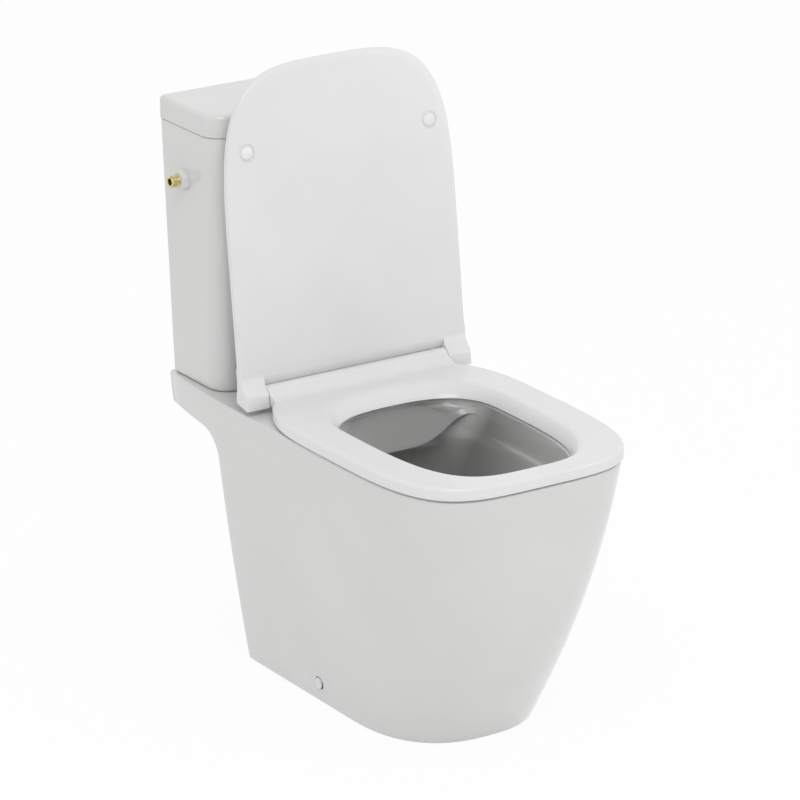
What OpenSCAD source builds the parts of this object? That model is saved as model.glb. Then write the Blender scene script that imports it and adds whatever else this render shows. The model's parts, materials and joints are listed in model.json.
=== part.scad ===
// Close coupled toilet: pan, cistern with its works, and seat with soft closing lid.
// X runs to the right as seen from the front, Y towards the wall and Z up, in millimetres.
// The origin is on the floor, in the middle of the foot. The lid is open and the seat down.

/* [Pan] */
// Height of the rim above the floor
rim_z = 392; // [380:1:460]
// Width across the rim
pan_w = 357; // [345:1:370]
// Distance from the wall to the front of the rim
pan_d = 668; // [650:1:690]
// Distance from the wall to the widest part of the rim
belly_d = 392; // [380:1:400]
// Width across the foot
foot_w = 247; // [230:1:270]
// Distance from the wall to the front of the foot
foot_d = 541; // [520:1:570]
// Distance from the wall to the rear edge of the skirt
skirt_d = 130; // [125:1:136]
// How square the rim's front corners are
rim_square = 4.2; // [3.4:0.1:5]
// How square the foot's front corners are
foot_square = 2.5; // [2.2:0.1:4]
// Width of the shelf at the wall
shelf_w = 331; // [325:1:345]
// Thickness of the shelf at the wall
shelf_t = 44; // [40:1:50]
// Fall of the shelf's underside towards the skirt
shelf_fall = 6; // [2:0.5:8]
// Thickness of the skirt
skirt_t = 12; // [10:0.5:14]
// Thickness of the deck between the rim and the bowl
deck_t = 16; // [13:0.5:18]
// Thickness of the bowl's wall
bowl_t = 11; // [9:0.5:12]

/* [Bowl] */
// Width of the rim's top at the side of the bowl
rim_side = 57; // [52:1:62]
// Distance from the wall to the rear of the bowl
bowl_rear_d = 292; // [288:1:300]
// Width of the rim's top in front of the bowl
rim_front = 34; // [30:1:40]
// Depth of the bowl below the rim
bowl_drop = 358; // [350:1:362]
// How far the water guide at the rear stands into the bowl
guide_out = 34; // [25:1:38]
// Depth of the water guide's edge below the rim
guide_drop = 38; // [32:1:44]

/* [Outlet and flush way] */
// Height of the outlet's centre
outlet_z = 180; // [172:1:190]
// Outer diameter of the outlet spigot
spigot_od = 102; // [98:0.5:106]
// Wall of the outlet spigot
spigot_t = 9; // [7:0.5:11]
// Distance from the wall to the end of the spigot
spigot_d = 74; // [60:1:100]
// Bore of the trap between the sump and the weir
trap_bore = 68; // [60:1:72]
// Distance from the wall to the weir
weir_d = 232; // [225:1:240]
// Width of the flush way under the shelf
flush_way_w = 84; // [76:1:92]
// Height of the flush way under the shelf
flush_way_h = 20; // [16:1:22]
// Diameter of the flush hole in the shelf
flush_hole = 69; // [67:0.5:72]

/* [Cistern] */
// Distance from the wall to the cistern
cistern_gap = 6; // [3:0.5:10]
// Width of the cistern at its foot
tank_foot_w = 327; // [315:1:330]
// Width of the cistern at its top
tank_top_w = 355; // [345:1:365]
// Distance from the wall to the cistern's front at its foot
tank_foot_d = 131; // [127:0.5:136]
// Distance from the wall to the cistern's front at its top
tank_top_d = 147; // [142:0.5:150]
// Height of the cistern without its lid
tank_h = 364; // [350:1:380]
// Radius of the cistern's front corners
tank_r = 30; // [22:1:36]
// Radius of the cistern's rear corners
tank_rear_r = 10; // [6:1:14]
// Thickness of the cistern's walls
tank_t = 9; // [7:0.5:11]
// Thickness of the cistern's floor
tank_floor_t = 10; // [8:0.5:12]
// Height of the recess under the cistern's floor
tank_recess = 8; // [7:0.5:10]
// Height of the cistern's lid
cover_h = 32; // [28:1:36]
// How far the lid stands out past the cistern
cover_over = 1; // [0.5:0.5:2]
// Thickness of the lid's top
cover_t = 10; // [8:0.5:12]
// Distance from the wall to the flush valve, inlet and bolts
works_d = 69; // [66:0.5:72]

/* [Flush valve] */
// Outer diameter of the valve's threaded tail
tail_od = 52; // [48:0.5:54]
// Bore of the valve's seat
seat_bore = 42; // [38:0.5:44]
// Outer diameter of the valve's basket
basket_od = 68; // [64:1:74]
// Height of the valve's basket
basket_h = 52; // [46:1:60]
// Height of the valve from its flange to the top of its head
valve_h = 262; // [250:1:270]
// Outer diameter of the overflow tube
overflow_od = 30; // [26:0.5:31]
// Lift of the overflow tube when the button is pressed
overflow_lift = 12; // [8:1:16]

/* [Button] */
// Diameter of the button's ring
bezel_od = 58; // [54:1:64]
// Diameter of the buttons together
button_od = 38.8; // [37:0.2:39.2]
// Diameter of the hole in the cistern's lid
cover_hole = 46; // [45.6:0.2:48]
// Travel of the buttons
button_travel = 5; // [3:0.5:6]
// Diameter of the push rods
rod_od = 6; // [5:0.5:6.5]

/* [Fill valve] */
// Height of the inlet above the floor
inlet_z = 684; // [670:1:700]
// Outer diameter of the inlet's pipe thread
inlet_od = 16.66; // [16:0.01:22]
// Bore of the inlet
inlet_bore = 10.5; // [10:0.5:12]
// How far the inlet stands out past the cistern
inlet_out = 23; // [20:1:34]
// Width across the flats of the inlet's nut
inlet_nut_af = 25; // [24:0.5:34]
// Swing of the float's arm
float_swing = 30; // [20:1:32]

/* [Seat and lid] */
// How far the seat stands out past the rim
seat_over = 2; // [1:0.5:3]
// Gap between the rim and the underside of the seat
seat_lift = 2.5; // [2.2:0.1:3.5]
// Thickness of the seat
seat_t = 17.5; // [16:0.5:18]
// Width of the seat at the side of its opening
seat_side = 53; // [50:0.5:58]
// Width of the seat at the front of its opening
seat_front = 33; // [30:0.5:40]
// Distance from the wall to the rear of the seat's opening
seat_open_d = 276; // [272:1:284]
// How far the seat's inner edge slopes inwards to its underside
seat_slope = 11; // [6:0.5:13]
// Distance from the wall to the hinge's axis
hinge_d = 217.5; // [214:0.5:220]
// Height of the hinge's axis above the rim
hinge_h = 23.5; // [23:0.5:25]
// Diameter of the hinge's barrel
barrel_od = 24; // [23:0.5:25]
// Length of the seat's barrel
barrel_l = 288; // [280:1:294]
// How far the lid reaches from the hinge's axis
lid_reach = 441; // [430:1:450]
// Thickness of the lid at its edge
lid_edge_t = 11; // [9:0.5:12]
// Extra thickness of the lid in its middle
lid_crown = 4; // [2:0.5:5]
// How square the lid's front corners are
lid_square = 3.8; // [3.4:0.1:4.2]
// How far the open lid leans back from upright
lid_lean = 6.8; // [4:0.1:7]
// Turn of the raised seat
seat_turn = 93; // [90:1:93]
// Distance between the hinge posts
post_pitch = 155; // [150:1:160]
// Diameter of the hinge posts
post_d = 8; // [6:0.5:9]
// Diameter of the hinge pins
pin_d = 8; // [6:0.5:8.5]
// Diameter of the soft closing dampers
damper_od = 16; // [14:0.5:17]
// Diameter of the pan's hinge holes
hinge_hole = 15; // [14:0.5:16]

/* [Fasteners] */
// Distance between the bolts that hold the cistern
bolt_pitch = 190; // [180:1:200]
// Diameter of the cistern's bolts
bolt_d = 8; // [7:0.5:9]
// Diameter of the bolt holes in the cistern and the shelf
bolt_hole = 11; // [10:0.5:12]
// Distance from the wall to the side screws
side_screw_d = 323; // [300:1:350]
// Height of the side screws
side_screw_z = 30; // [28:1:34]
// Diameter of the side screws
side_screw_od = 6; // [5:0.5:7]
// Diameter of the side screws' caps
cap_od = 17; // [15:0.5:18]
// Distance between the brackets' floor holes
bracket_pitch = 144; // [136:1:150]
// Diameter of the brackets' floor holes
bracket_hole = 7; // [5:0.5:8]
// Diameter of the rubber buffers under the seat and the lid
buffer_od = 18; // [14:1:20]

/* [Hidden] */
$fn = 48;

run_fit = 0.05;          // radial play of a pin that turns or slides in its hole
slip_fit = 0.3;          // radial play of a part that is dropped into its seat
cut = 1;                 // how far a cutting shape runs past the surface it cuts
arc_steps = 22;          // steps round the front of each level of the pan and the seat
side_steps = 5;          // steps along each side of a level, behind its widest part

// The wall's place, with the middle of the foot at the origin.
wall_y = (foot_d + skirt_d) / 2;
function out(d) = wall_y - d;            // y of a place d in front of the wall
works_y = out(works_d);

shelf_under = rim_z - shelf_t;
tank_z = rim_z;
tank_floor_z = tank_z + tank_recess + tank_floor_t;
tank_top_z = tank_z + tank_h;
cover_top_z = tank_top_z + cover_h;
cover_under = cover_top_z - cover_t;
open_half = pan_w / 2 - rim_side;
bowl_front_d = pan_d - rim_front;
hinge_y = out(hinge_d);
hinge_z = rim_z + hinge_h;
seat_z = rim_z + seat_lift;
seat_half = pan_w / 2 + seat_over;
seat_d = pan_d + seat_over;
seat_open_half = seat_half - seat_side;

// ---- Levels: closed rings of points, each with the same count, joined by triangles ----

function power(v, p) = sign(v) * pow(abs(v), p);
function mix(a, b, t) = a + (b - a) * t;
// A quarter-by-quarter superellipse point: half sizes a and b, squareness n, angle t.
function oval(a, b, n, t) = [a * power(cos(t), 2 / n), -b * power(sin(t), 2 / n)];

// Joins rings of equal length from the first to the last and closes both ends.
module loft(rings) {
    n = len(rings[0]);
    polyhedron(
        points = [for (r = rings) each r],
        faces = [
            [for (i = [0 : n - 1]) i],
            for (k = [0 : len(rings) - 2], i = [0 : n - 1])
                let (a = k * n + i, b = k * n + (i + 1) % n) each [[a, a + n, b], [b, a + n, b + n]],
            [for (i = [n - 1 : -1 : 0]) (len(rings) - 1) * n + i]
        ],
        convexity = 8
    );
}

// Joins rings as loft() does, and the last one to the first, for a shape with a hole through it.
module loft_loop(rings) {
    n = len(rings[0]);
    m = len(rings);
    polyhedron(
        points = [for (r = rings) each r],
        faces = [
            for (k = [0 : m - 1], i = [0 : n - 1])
                let (a = k * n + i, b = k * n + (i + 1) % n, c = ((k + 1) % m) * n + i,
                     d = ((k + 1) % m) * n + (i + 1) % n)
                each [[a, c, b], [b, c, d]]
        ],
        convexity = 8
    );
}

// ---- Pan ----

// Growth of the body from the foot (0) to the rim (1), with a bulge in between.
function swell(z, bulge) = let (t = z / rim_z) (1 + bulge) * t - bulge * t * t;
side_bulge = 0.25;
front_bulge = 0.75;
function pan_half(z) = mix(foot_w, pan_w, swell(z, side_bulge)) / 2;
function pan_front(z) = mix(foot_d, pan_d, swell(z, front_bulge));
function pan_square(z) = mix(foot_square, rim_square, z / rim_z);
// The shelf narrows from the body to the wall.
flare_d = 162;
function flare(d) = 1 - (1 - shelf_w / pan_w) * pow(max(0, 1 - d / flare_d), 2);

// One level of the pan's body: at height z, pulled in by inset, with its rear edge rear_d in
// front of the wall and rear corners of radius corner.
function pan_level(z, rear_d, inset = 0, corner = 5) =
    let (half = pan_half(z) - inset,
         reach = pan_front(z) - inset - belly_d,
         steps = [for (k = [1 : side_steps]) mix(belly_d, rear_d + corner, pow(k / side_steps, 0.8))],
         rear_half = half * flare(rear_d))
    [
        for (k = [0 : arc_steps])
            let (p = oval(half, reach, pan_square(z), 180 * k / arc_steps)) [p.x, out(belly_d) + p.y, z],
        for (d = steps) [-half * flare(d), out(d), z],
        [-rear_half + corner * 0.3, out(rear_d + corner * 0.3), z],
        [-rear_half + corner, out(rear_d), z],
        [rear_half - corner, out(rear_d), z],
        [rear_half - corner * 0.3, out(rear_d + corner * 0.3), z],
        for (k = [side_steps - 1 : -1 : 0]) [half * flare(steps[k]), out(steps[k]), z]
    ];

// Points behind the belly in one level, between the two ends of its front arc.
rear_steps = 2 * side_steps + 4;

// One level of the bowl, half wide to each side, from rear_d to front_d.
function bowl_level(z, rear_d, front_d, half, square = 3.2) =
    [
        for (k = [0 : arc_steps])
            let (p = oval(half, front_d - belly_d, square, 180 * k / arc_steps))
            [p.x, out(belly_d) + p.y, z],
        for (k = [1 : rear_steps])
            let (p = oval(half, rear_d - belly_d, square, 180 - 180 * k / (rear_steps + 1)))
            [p.x, out(belly_d) + p.y, z]
    ];

guide_t = 8;             // depth of the water guide's front edge
rim_round = 5;           // radius of the bowl's upper edge
fillet_r = 40;           // radius between the shelf's underside and the skirt's rear edge
split_drop = shelf_t + shelf_fall + fillet_r;        // the rim's casting meets the skirt's this far down
split_z = rim_z - split_drop;

// Places in the bowl as shares of the way from its widest part to its mouth's rear or front.
function bowl_rear(share) = mix(belly_d, bowl_rear_d, share);
function bowl_front(share) = mix(belly_d, bowl_front_d, share);

// The bowl from its sump to its mouth: depth below the rim, distance from the wall to its rear
// and front, and half width as a share of the mouth's.
bowl_levels = [
    [bowl_drop, bowl_rear(0.36), bowl_front(0.07), 0.26],
    [bowl_drop * 0.92, bowl_rear(0.44), bowl_front(0.11), 0.34],
    [bowl_drop * 0.75, bowl_rear(0.56), bowl_front(0.27), 0.44],
    [bowl_drop * 0.53, bowl_rear(0.68), bowl_front(0.50), 0.60],
    [bowl_drop * 0.38, bowl_rear(0.76), bowl_front(0.70), 0.74],
    [split_drop, bowl_rear(0.80), bowl_front(0.84), 0.83],
    [guide_drop + guide_t, bowl_rear(0.83), bowl_front(0.94), 0.89],
    [guide_drop, bowl_rear_d + guide_out, bowl_front(0.95), 0.90],
    [rim_round, bowl_rear(0.95), bowl_front(0.99), 0.975],
    [0, bowl_rear_d, bowl_front_d, 1]
];
function bowl_inner(l) = bowl_level(rim_z - l[0], l[1], l[2], l[3] * open_half);
function bowl_outer(l, z) = bowl_level(z, l[1] - bowl_t, l[2] + bowl_t, l[3] * open_half + bowl_t);

// Underside of the shelf, from the skirt's rear edge to the wall, as drop below the shelf's
// underside at the wall and distance from the wall.
shelf_curve = [
    [shelf_fall + fillet_r, skirt_d], [shelf_fall + fillet_r * 0.55, skirt_d - 3],
    [shelf_fall + fillet_r * 0.22, skirt_d - 13], [shelf_fall, skirt_d - fillet_r], [0, 0]
];
edge_r = 3;

// The rim's casting: the deck, the shelf and the top of the bowl.
module rim_shell() {
    under_z = rim_z - deck_t;
    loft_loop(concat(
        [for (k = [5 : len(bowl_levels) - 1]) bowl_inner(bowl_levels[k])],
        [pan_level(rim_z, edge_r, edge_r), pan_level(rim_z - edge_r, 0)],
        [
            for (k = [len(shelf_curve) - 1 : -1 : 0])
                pan_level(shelf_under - shelf_curve[k][0], shelf_curve[k][1])
        ],
        [for (z = [split_z, under_z]) pan_level(z, skirt_d + skirt_t, skirt_t)],
        [bowl_outer(bowl_levels[8], under_z)],
        [for (k = [6, 5]) bowl_outer(bowl_levels[k], rim_z - bowl_levels[k][0])]
    ));
}

// The skirt's casting, from the floor to the rim's.
module skirt_shell() {
    loft_loop(concat(
        [for (k = [0 : 4]) pan_level(split_z * k / 4, skirt_d + skirt_t, skirt_t)],
        [for (k = [4 : -1 : 0]) pan_level(split_z * k / 4, skirt_d)]
    ));
}

// The outside of the bowl's casting, from the rim's down to its foot.
bowl_outer_levels = concat(
    [for (k = [5 : -1 : 1]) bowl_outer(bowl_levels[k], rim_z - bowl_levels[k][0])],
    [bowl_outer(bowl_levels[0], rim_z - bowl_drop - bowl_t)]
);

// A round bar between two points in the plane X = 0, given as [y, z].
module bar_yz(a, b, d) {
    run = b - a;
    translate([0, a[0], a[1]])
        rotate([-atan2(run[0], run[1]), 0, 0])
            cylinder(d = d, h = norm(run));
}

spigot_bore = spigot_od - 2 * spigot_t;
bend_od = spigot_od + 4;
sump_back = 20;          // how far behind the bowl's widest part the trap leaves its sump
weir = [out(weir_d), outlet_z];
sump = [out(belly_d - sump_back), rim_z - bowl_drop + trap_bore / 2];

// Everything behind a plane that lies within the bowl's sloping rear wall.
module behind_bowl() {
    low = bowl_levels[1];
    high = bowl_levels[3];
    slope = atan2(low[1] - high[1], low[0] - high[0]);
    translate([0, out(low[1] - bowl_t / 2), rim_z - low[0]])
        rotate([-slope, 0, 0])
            translate([-pan_w / 2, 0, -rim_z]) cube([pan_w, pan_d, 2 * rim_z]);
}

module trap_outside() {
    bar_yz([out(spigot_d), outlet_z], weir, spigot_od);
    translate([0, weir[0], weir[1]]) sphere(d = bend_od);
    intersection() {
        bar_yz(weir, sump, trap_bore + 2 * bowl_t);
        behind_bowl();
    }
}

module trap_inside() {
    bar_yz([out(spigot_d - cut), outlet_z], weir, spigot_bore);
    translate([0, weir[0], weir[1]]) sphere(d = spigot_bore);
    bar_yz(weir, sump, trap_bore);
}

// The flush way runs level under the shelf and the deck, drops behind the bowl's rear wall and
// comes out in a slot under the water guide. Each stretch is [from, to, low, high], with the
// first two as distances from the wall.
flush_way_z = rim_z - deck_t - flush_way_h / 2;
flush_way_t = 9;                                     // ceramic round the flush way
drop_d = bowl_rear_d - bowl_t - 4;                   // front of the drop
drop_l = 18;
slot_z = rim_z - guide_drop - flush_way_h;           // floor of the slot
slot_h = 12;
flush_way_level = [works_d - flush_hole / 2, drop_d, flush_way_z, flush_way_z + flush_way_h];
flush_way_drop = [drop_d - drop_l, drop_d, slot_z, flush_way_z + flush_way_h];
flush_way_slot = [drop_d - drop_l, bowl_rear_d + guide_out, slot_z, slot_z + slot_h];

module flush_stretch(run, grow = 0) {
    translate([-flush_way_w / 2 - grow, out(run[1] + grow), run[2] - grow])
        cube([flush_way_w + 2 * grow, run[1] - run[0] + 2 * grow, run[3] - run[2] + grow]);
}

module flush_way_outside() {
    flush_stretch(flush_way_level, flush_way_t);
    flush_stretch(flush_way_drop, flush_way_t);
}

module flush_way_inside() {
    flush_stretch(flush_way_level);
    flush_stretch(flush_way_drop);
    flush_stretch(flush_way_slot);
}

// The open back of the skirt, with its two upper corners cut off in two steps.
module skirt_back_cut() {
    foot = pan_half(0) - skirt_t - 2;
    top_z = shelf_under - shelf_fall - fillet_r - 4;
    bend_z = top_z - 60;
    wide = pan_half(bend_z) - skirt_t - 2;
    right = [[foot, -cut], [wide, bend_z], [wide - 18, top_z - 14], [wide - 46, top_z]];
    translate([0, out(skirt_d) + 2 * skirt_t, 0])
        rotate([90, 0, 0])
            linear_extrude(3 * skirt_t + cut)
                polygon(concat(right, [for (k = [len(right) - 1 : -1 : 0]) [-right[k].x, right[k].y]]));
}

pocket_depth = 3;        // depth of the flat pocket round each side screw
pocket_floor = pan_half(side_screw_z) - pocket_depth;
module side_pocket() {
    translate([pocket_floor, out(side_screw_d), side_screw_z])
        rotate([0, 90, 0]) cylinder(d = cap_od + 1, h = 2 * skirt_t);
    translate([0, out(side_screw_d), side_screw_z])
        rotate([0, 90, 0])
            translate([0, 0, pocket_floor - 2 * skirt_t])
                cylinder(d = side_screw_od + 4, h = 2 * skirt_t + cut);
}

spot_d = 30;             // flat seats under the shelf for the wing nuts' washers
spot_z = shelf_under - 2;

// A half of the space, above or below the plane where the castings meet.
module casting_half(up) {
    translate([-pan_w, -pan_d, up ? split_z : split_z - rim_z]) cube([2 * pan_w, 2 * pan_d, rim_z]);
}

module pan_rim() {
    color([0.94, 0.94, 0.93])
        difference() {
            union() {
                rim_shell();
                intersection() {
                    flush_way_outside();
                    casting_half(true);
                }
            }
            flush_way_inside();
            translate([0, works_y, flush_way_z]) cylinder(d = flush_hole, h = shelf_t);
            for (s = [-1, 1]) {
                translate([s * bolt_pitch / 2, works_y, shelf_under - shelf_t])
                    cylinder(d = bolt_hole, h = 2 * shelf_t + cut);
                translate([s * bolt_pitch / 2, works_y, spot_z - shelf_t]) cylinder(d = spot_d, h = shelf_t);
                translate([s * post_pitch / 2, hinge_y, rim_z - deck_t - cut])
                    cylinder(d = hinge_hole, h = deck_t + 2 * cut);
            }
        }
}

module pan_skirt() {
    color([0.94, 0.94, 0.93])
        difference() {
            skirt_shell();
            skirt_back_cut();
            for (s = [-1, 1]) mirror([s < 0 ? 1 : 0, 0, 0]) side_pocket();
        }
}

module pan_bowl() {
    color([0.94, 0.94, 0.93])
        difference() {
            loft(concat([for (k = [0 : 5]) bowl_inner(bowl_levels[k])], bowl_outer_levels));
            trap_inside();
        }
}

module pan_trapway() {
    color([0.94, 0.94, 0.93])
        difference() {
            trap_outside();
            trap_inside();
            loft(bowl_outer_levels);
        }
}

// ---- Cistern ----

corner_steps = 4;
// A rounded rectangle at height z: half wide to each side, from rear_d to front_d.
function tank_level(z, half, rear_d, front_d, rear_r, front_r) =
    let (corners = [
            [half - front_r, out(front_d - front_r), front_r, 0],
            [front_r - half, out(front_d - front_r), front_r, 90],
            [rear_r - half, out(rear_d + rear_r), rear_r, 180],
            [half - rear_r, out(rear_d + rear_r), rear_r, 270]
        ])
    [
        for (c = corners, k = [0 : corner_steps])
            let (t = c[3] + 90 * k / corner_steps) [c[0] + c[2] * cos(t), c[1] - c[2] * sin(t), z]
    ];

// The cistern's outside at height z, pulled in by inset.
function tank_half(z) = mix(tank_foot_w, tank_top_w, (z - tank_z) / tank_h) / 2;
function tank_front(z) = mix(tank_foot_d, tank_top_d, (z - tank_z) / tank_h);
function tank_ring(z, inset = 0) = tank_level(
    z, tank_half(z) - inset, cistern_gap + inset, tank_front(z) - inset,
    max(tank_rear_r - inset, 2), max(tank_r - inset, 4));

tank_foot_rim = 16;      // width of the rim that the cistern stands on
tank_foot_round = 5;
inlet_boss_d = 29;       // flat boss that the inlet's nut bears on
wall_out_x = tank_half(inlet_z) + 1;                  // outer face of that boss
wall_in_x = tank_half(inlet_z) - tank_t - 1;          // inner face of its other side
inlet_y = works_y;

module cistern_tank() {
    color([0.94, 0.94, 0.93])
        difference() {
            union() {
                loft([
                    tank_ring(tank_floor_z, tank_t), tank_ring(tank_top_z, tank_t),
                    tank_ring(tank_top_z, 0), tank_ring(tank_z + tank_foot_round, 0),
                    tank_ring(tank_z, tank_foot_round),
                    tank_ring(tank_z, tank_foot_rim), tank_ring(tank_z + tank_recess, tank_foot_rim)
                ]);
                translate([-wall_out_x, inlet_y, inlet_z])
                    rotate([0, 90, 0]) cylinder(d = inlet_boss_d, h = wall_out_x - wall_in_x);
            }
            translate([-wall_out_x - cut, inlet_y, inlet_z])
                rotate([0, 90, 0]) cylinder(d = inlet_od + 2 * slip_fit, h = 3 * tank_t);
            translate([0, works_y, tank_z])
                cylinder(d = tail_od + 2 * slip_fit, h = tank_floor_z - tank_z + cut);
            for (s = [-1, 1])
                translate([s * bolt_pitch / 2, works_y, tank_z])
                    cylinder(d = bolt_hole, h = tank_floor_z - tank_z + cut);
        }
}

cover_lip = 7;           // depth of the lip that locates the lid in the cistern
cover_lip_t = 5;
cover_round = 6;         // radius of the lid's upper edge
function cover_ring(z, inset) = tank_level(
    z, tank_top_w / 2 + cover_over - inset, cistern_gap - cover_over / 2 + inset,
    tank_top_d + cover_over - inset, max(tank_rear_r - inset, 2), max(tank_r - inset, 4));

module cistern_lid() {
    lip = tank_t + cover_over + 1.5;
    color([0.94, 0.94, 0.93])
        difference() {
            loft([
                for (a = [90, 60, 30, 0])
                    cover_ring(cover_top_z - cover_round * (1 - sin(a)), cover_round * (1 - cos(a))),
                cover_ring(tank_top_z, 0), cover_ring(tank_top_z, lip),
                cover_ring(tank_top_z - cover_lip, lip),
                cover_ring(tank_top_z - cover_lip, lip + cover_lip_t),
                cover_ring(cover_under, lip + cover_lip_t)
            ]);
            translate([0, works_y, cover_under - cut]) cylinder(d = cover_hole, h = cover_t + 2 * cut);
        }
}

// A tube or a disc on the vertical line of the cistern's works, or of a bolt at x.
module ring_z(od, id, z, h, x = 0) {
    translate([x, works_y, z])
        difference() {
            cylinder(d = od, h = h);
            translate([0, 0, -cut]) cylinder(d = id, h = h + 2 * cut);
        }
}

seal_id = flush_hole + 2;
seal_w = 9;              // width of the seal's ring, within the rim that the cistern stands on
module coupling_seal() {
    color([0.16, 0.16, 0.17]) ring_z(seal_id + 2 * seal_w, seal_id, tank_z, tank_recess);
}

bolt_seal_h = 5;
bolt_seal_foot_od = bolt_hole + 14;
bolt_seal_top_od = bolt_hole + 8;
bolt_head_h = 5;
bolt_head_af = 18;
bolt_washer_t = 2;
nut_seat_z = spot_z - bolt_washer_t;     // underside of the washers under the shelf
wing_nut_h = 10;
bolt_end_z = nut_seat_z - wing_nut_h - 8;
module coupling_bolts() {
    color([0.75, 0.72, 0.66])
        for (s = [-1, 1])
            translate([s * bolt_pitch / 2, works_y, 0]) {
                translate([0, 0, tank_floor_z + bolt_seal_h])
                    cylinder(d = bolt_head_af / cos(30), h = bolt_head_h, $fn = 6);
                translate([0, 0, bolt_end_z])
                    cylinder(d = bolt_d, h = tank_floor_z + bolt_seal_h + cut - bolt_end_z);
            }
}

module coupling_bolt_seals() {
    color([0.16, 0.16, 0.17])
        for (s = [-1, 1])
            translate([s * bolt_pitch / 2, works_y, tank_floor_z])
                difference() {
                    cylinder(d1 = bolt_seal_foot_od, d2 = bolt_seal_top_od, h = bolt_seal_h);
                    translate([0, 0, -cut])
                        cylinder(d = bolt_d + 2 * run_fit, h = bolt_seal_h + 2 * cut);
                }
}

module coupling_washers() {
    color([0.75, 0.75, 0.76])
        for (s = [-1, 1])
            ring_z(spot_d - 4, bolt_d + 2 * slip_fit, nut_seat_z, bolt_washer_t, s * bolt_pitch / 2);
}

module coupling_wing_nuts() {
    hub_r = bolt_d / 2 + 4;
    wing = [15, 3, wing_nut_h];
    color([0.80, 0.70, 0.42])
        for (s = [-1, 1])
            translate([s * bolt_pitch / 2, works_y, nut_seat_z - wing_nut_h])
                difference() {
                    union() {
                        cylinder(r = hub_r, h = wing_nut_h);
                        for (a = [0, 180])
                            rotate([0, 0, a]) translate([hub_r - 3, -wing.y / 2, -3]) cube(wing);
                    }
                    translate([0, 0, -cut]) cylinder(d = bolt_d + 2 * run_fit, h = wing_nut_h + 2 * cut);
                }
}

// ---- Flush valve ----

valve_washer_t = 3;
flange_t = 5;
flange_z = tank_floor_z + valve_washer_t;         // underside of the valve's flange
valve_seat_z = flange_z + flange_t;               // where the seal sits
basket_t = 3;
basket_top_z = valve_seat_z + basket_h;
head_h = 30;
head_z = flange_z + valve_h - head_h;
tower_id = overflow_od + 3;
tower_od = tower_id + 5;
tail_end_z = tank_z - 18;
valve_nut_h = 11;
window_w = 18;

module flush_valve_body() {
    color([0.92, 0.92, 0.92])
        difference() {
            union() {
                ring_z(tail_od, seat_bore, tail_end_z, flange_z - tail_end_z + flange_t / 2);
                ring_z(basket_od + 6, seat_bore, flange_z, flange_t);
                ring_z(basket_od, basket_od - 2 * basket_t, valve_seat_z - 1, basket_h + 1);
                ring_z(basket_od, tower_id, basket_top_z - 1, 4);
                ring_z(tower_od, tower_id, basket_top_z + 2, head_z - basket_top_z - 2);
            }
            // Windows that let the water in.
            for (a = [30 : 60 : 330])
                translate([0, works_y, valve_seat_z + 6])
                    rotate([0, 0, a])
                        translate([0, -window_w / 2, 0]) cube([basket_od, window_w, basket_h - 14]);
        }
}

module flush_valve_washer() {
    color([0.16, 0.16, 0.17]) ring_z(basket_od + 4, tail_od + 2 * slip_fit, tank_floor_z, valve_washer_t);
}

module flush_valve_nut() {
    color([0.92, 0.92, 0.92])
        translate([0, works_y, tank_z + tank_recess - valve_nut_h])
            difference() {
                cylinder(d = flush_hole - 3, h = valve_nut_h, $fn = 8);
                translate([0, 0, -cut])
                    cylinder(d = tail_od + 2 * run_fit, h = valve_nut_h + 2 * cut, $fn = 48);
            }
}

rod_x = 9.5;             // distance of each push rod from the middle of the button
head_w = 58;
head_l = 46;
head_pad_h = 3;          // height of the pads that the rods press on
head_pad_od = 12;
head_pad_x = head_w / 2 - 8;
module flush_valve_head() {
    color([0.30, 0.45, 0.72])
        translate([0, works_y, head_z])
            difference() {
                union() {
                    translate([-head_w / 2, -head_l / 2, 0]) cube([head_w, head_l, head_h]);
                    for (s = [-1, 1])
                        translate([s * head_pad_x, 0, head_h - 1])
                            cylinder(d = head_pad_od, h = head_pad_h + 1);
                }
                translate([0, 0, -cut]) cylinder(d = tower_id, h = head_h + 2 * cut);
            }
}

overflow_top_z = head_z + head_h / 2;           // it ends in the head's bore, which carries on above it
overflow_id = overflow_od - 5;
seal_t = 3.5;
module overflow_tube() {
    foot_z = valve_seat_z + seal_t;
    color([0.86, 0.86, 0.84])
        union() {
            ring_z(overflow_od, overflow_id, valve_seat_z - 4, overflow_top_z - valve_seat_z + 4);
            ring_z(seat_bore + 10, overflow_id, foot_z, 3);
        }
}

module flush_seal() {
    color([0.70, 0.22, 0.18]) ring_z(seat_bore + 9, overflow_od + 2 * run_fit, valve_seat_z, seal_t);
}

// ---- Button ----

bezel_flange_t = 2.5;
bezel_id = button_od + 1.2;
bezel_wall_od = cover_hole - 2 * slip_fit;
bezel_low_z = cover_under - 14;
bezel_floor_t = 3;
spring_z = bezel_low_z + bezel_floor_t;              // where the springs stand
button_low_z = spring_z + button_travel + 8;         // underside of the buttons at rest
button_top_z = cover_top_z + bezel_flange_t + 1;
split_gap = 0.8;

module button_bezel() {
    color([0.78, 0.79, 0.80])
        difference() {
            union() {
                ring_z(bezel_od, bezel_id, cover_top_z, bezel_flange_t);
                ring_z(bezel_wall_od, bezel_id, bezel_low_z, cover_top_z - bezel_low_z + cut);
                translate([0, works_y, bezel_low_z]) cylinder(d = bezel_wall_od, h = bezel_floor_t);
            }
            for (s = [-1, 1])
                translate([s * rod_x, works_y, bezel_low_z - cut])
                    cylinder(d = rod_od + 1, h = bezel_floor_t + 2 * cut);
        }
}

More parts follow.
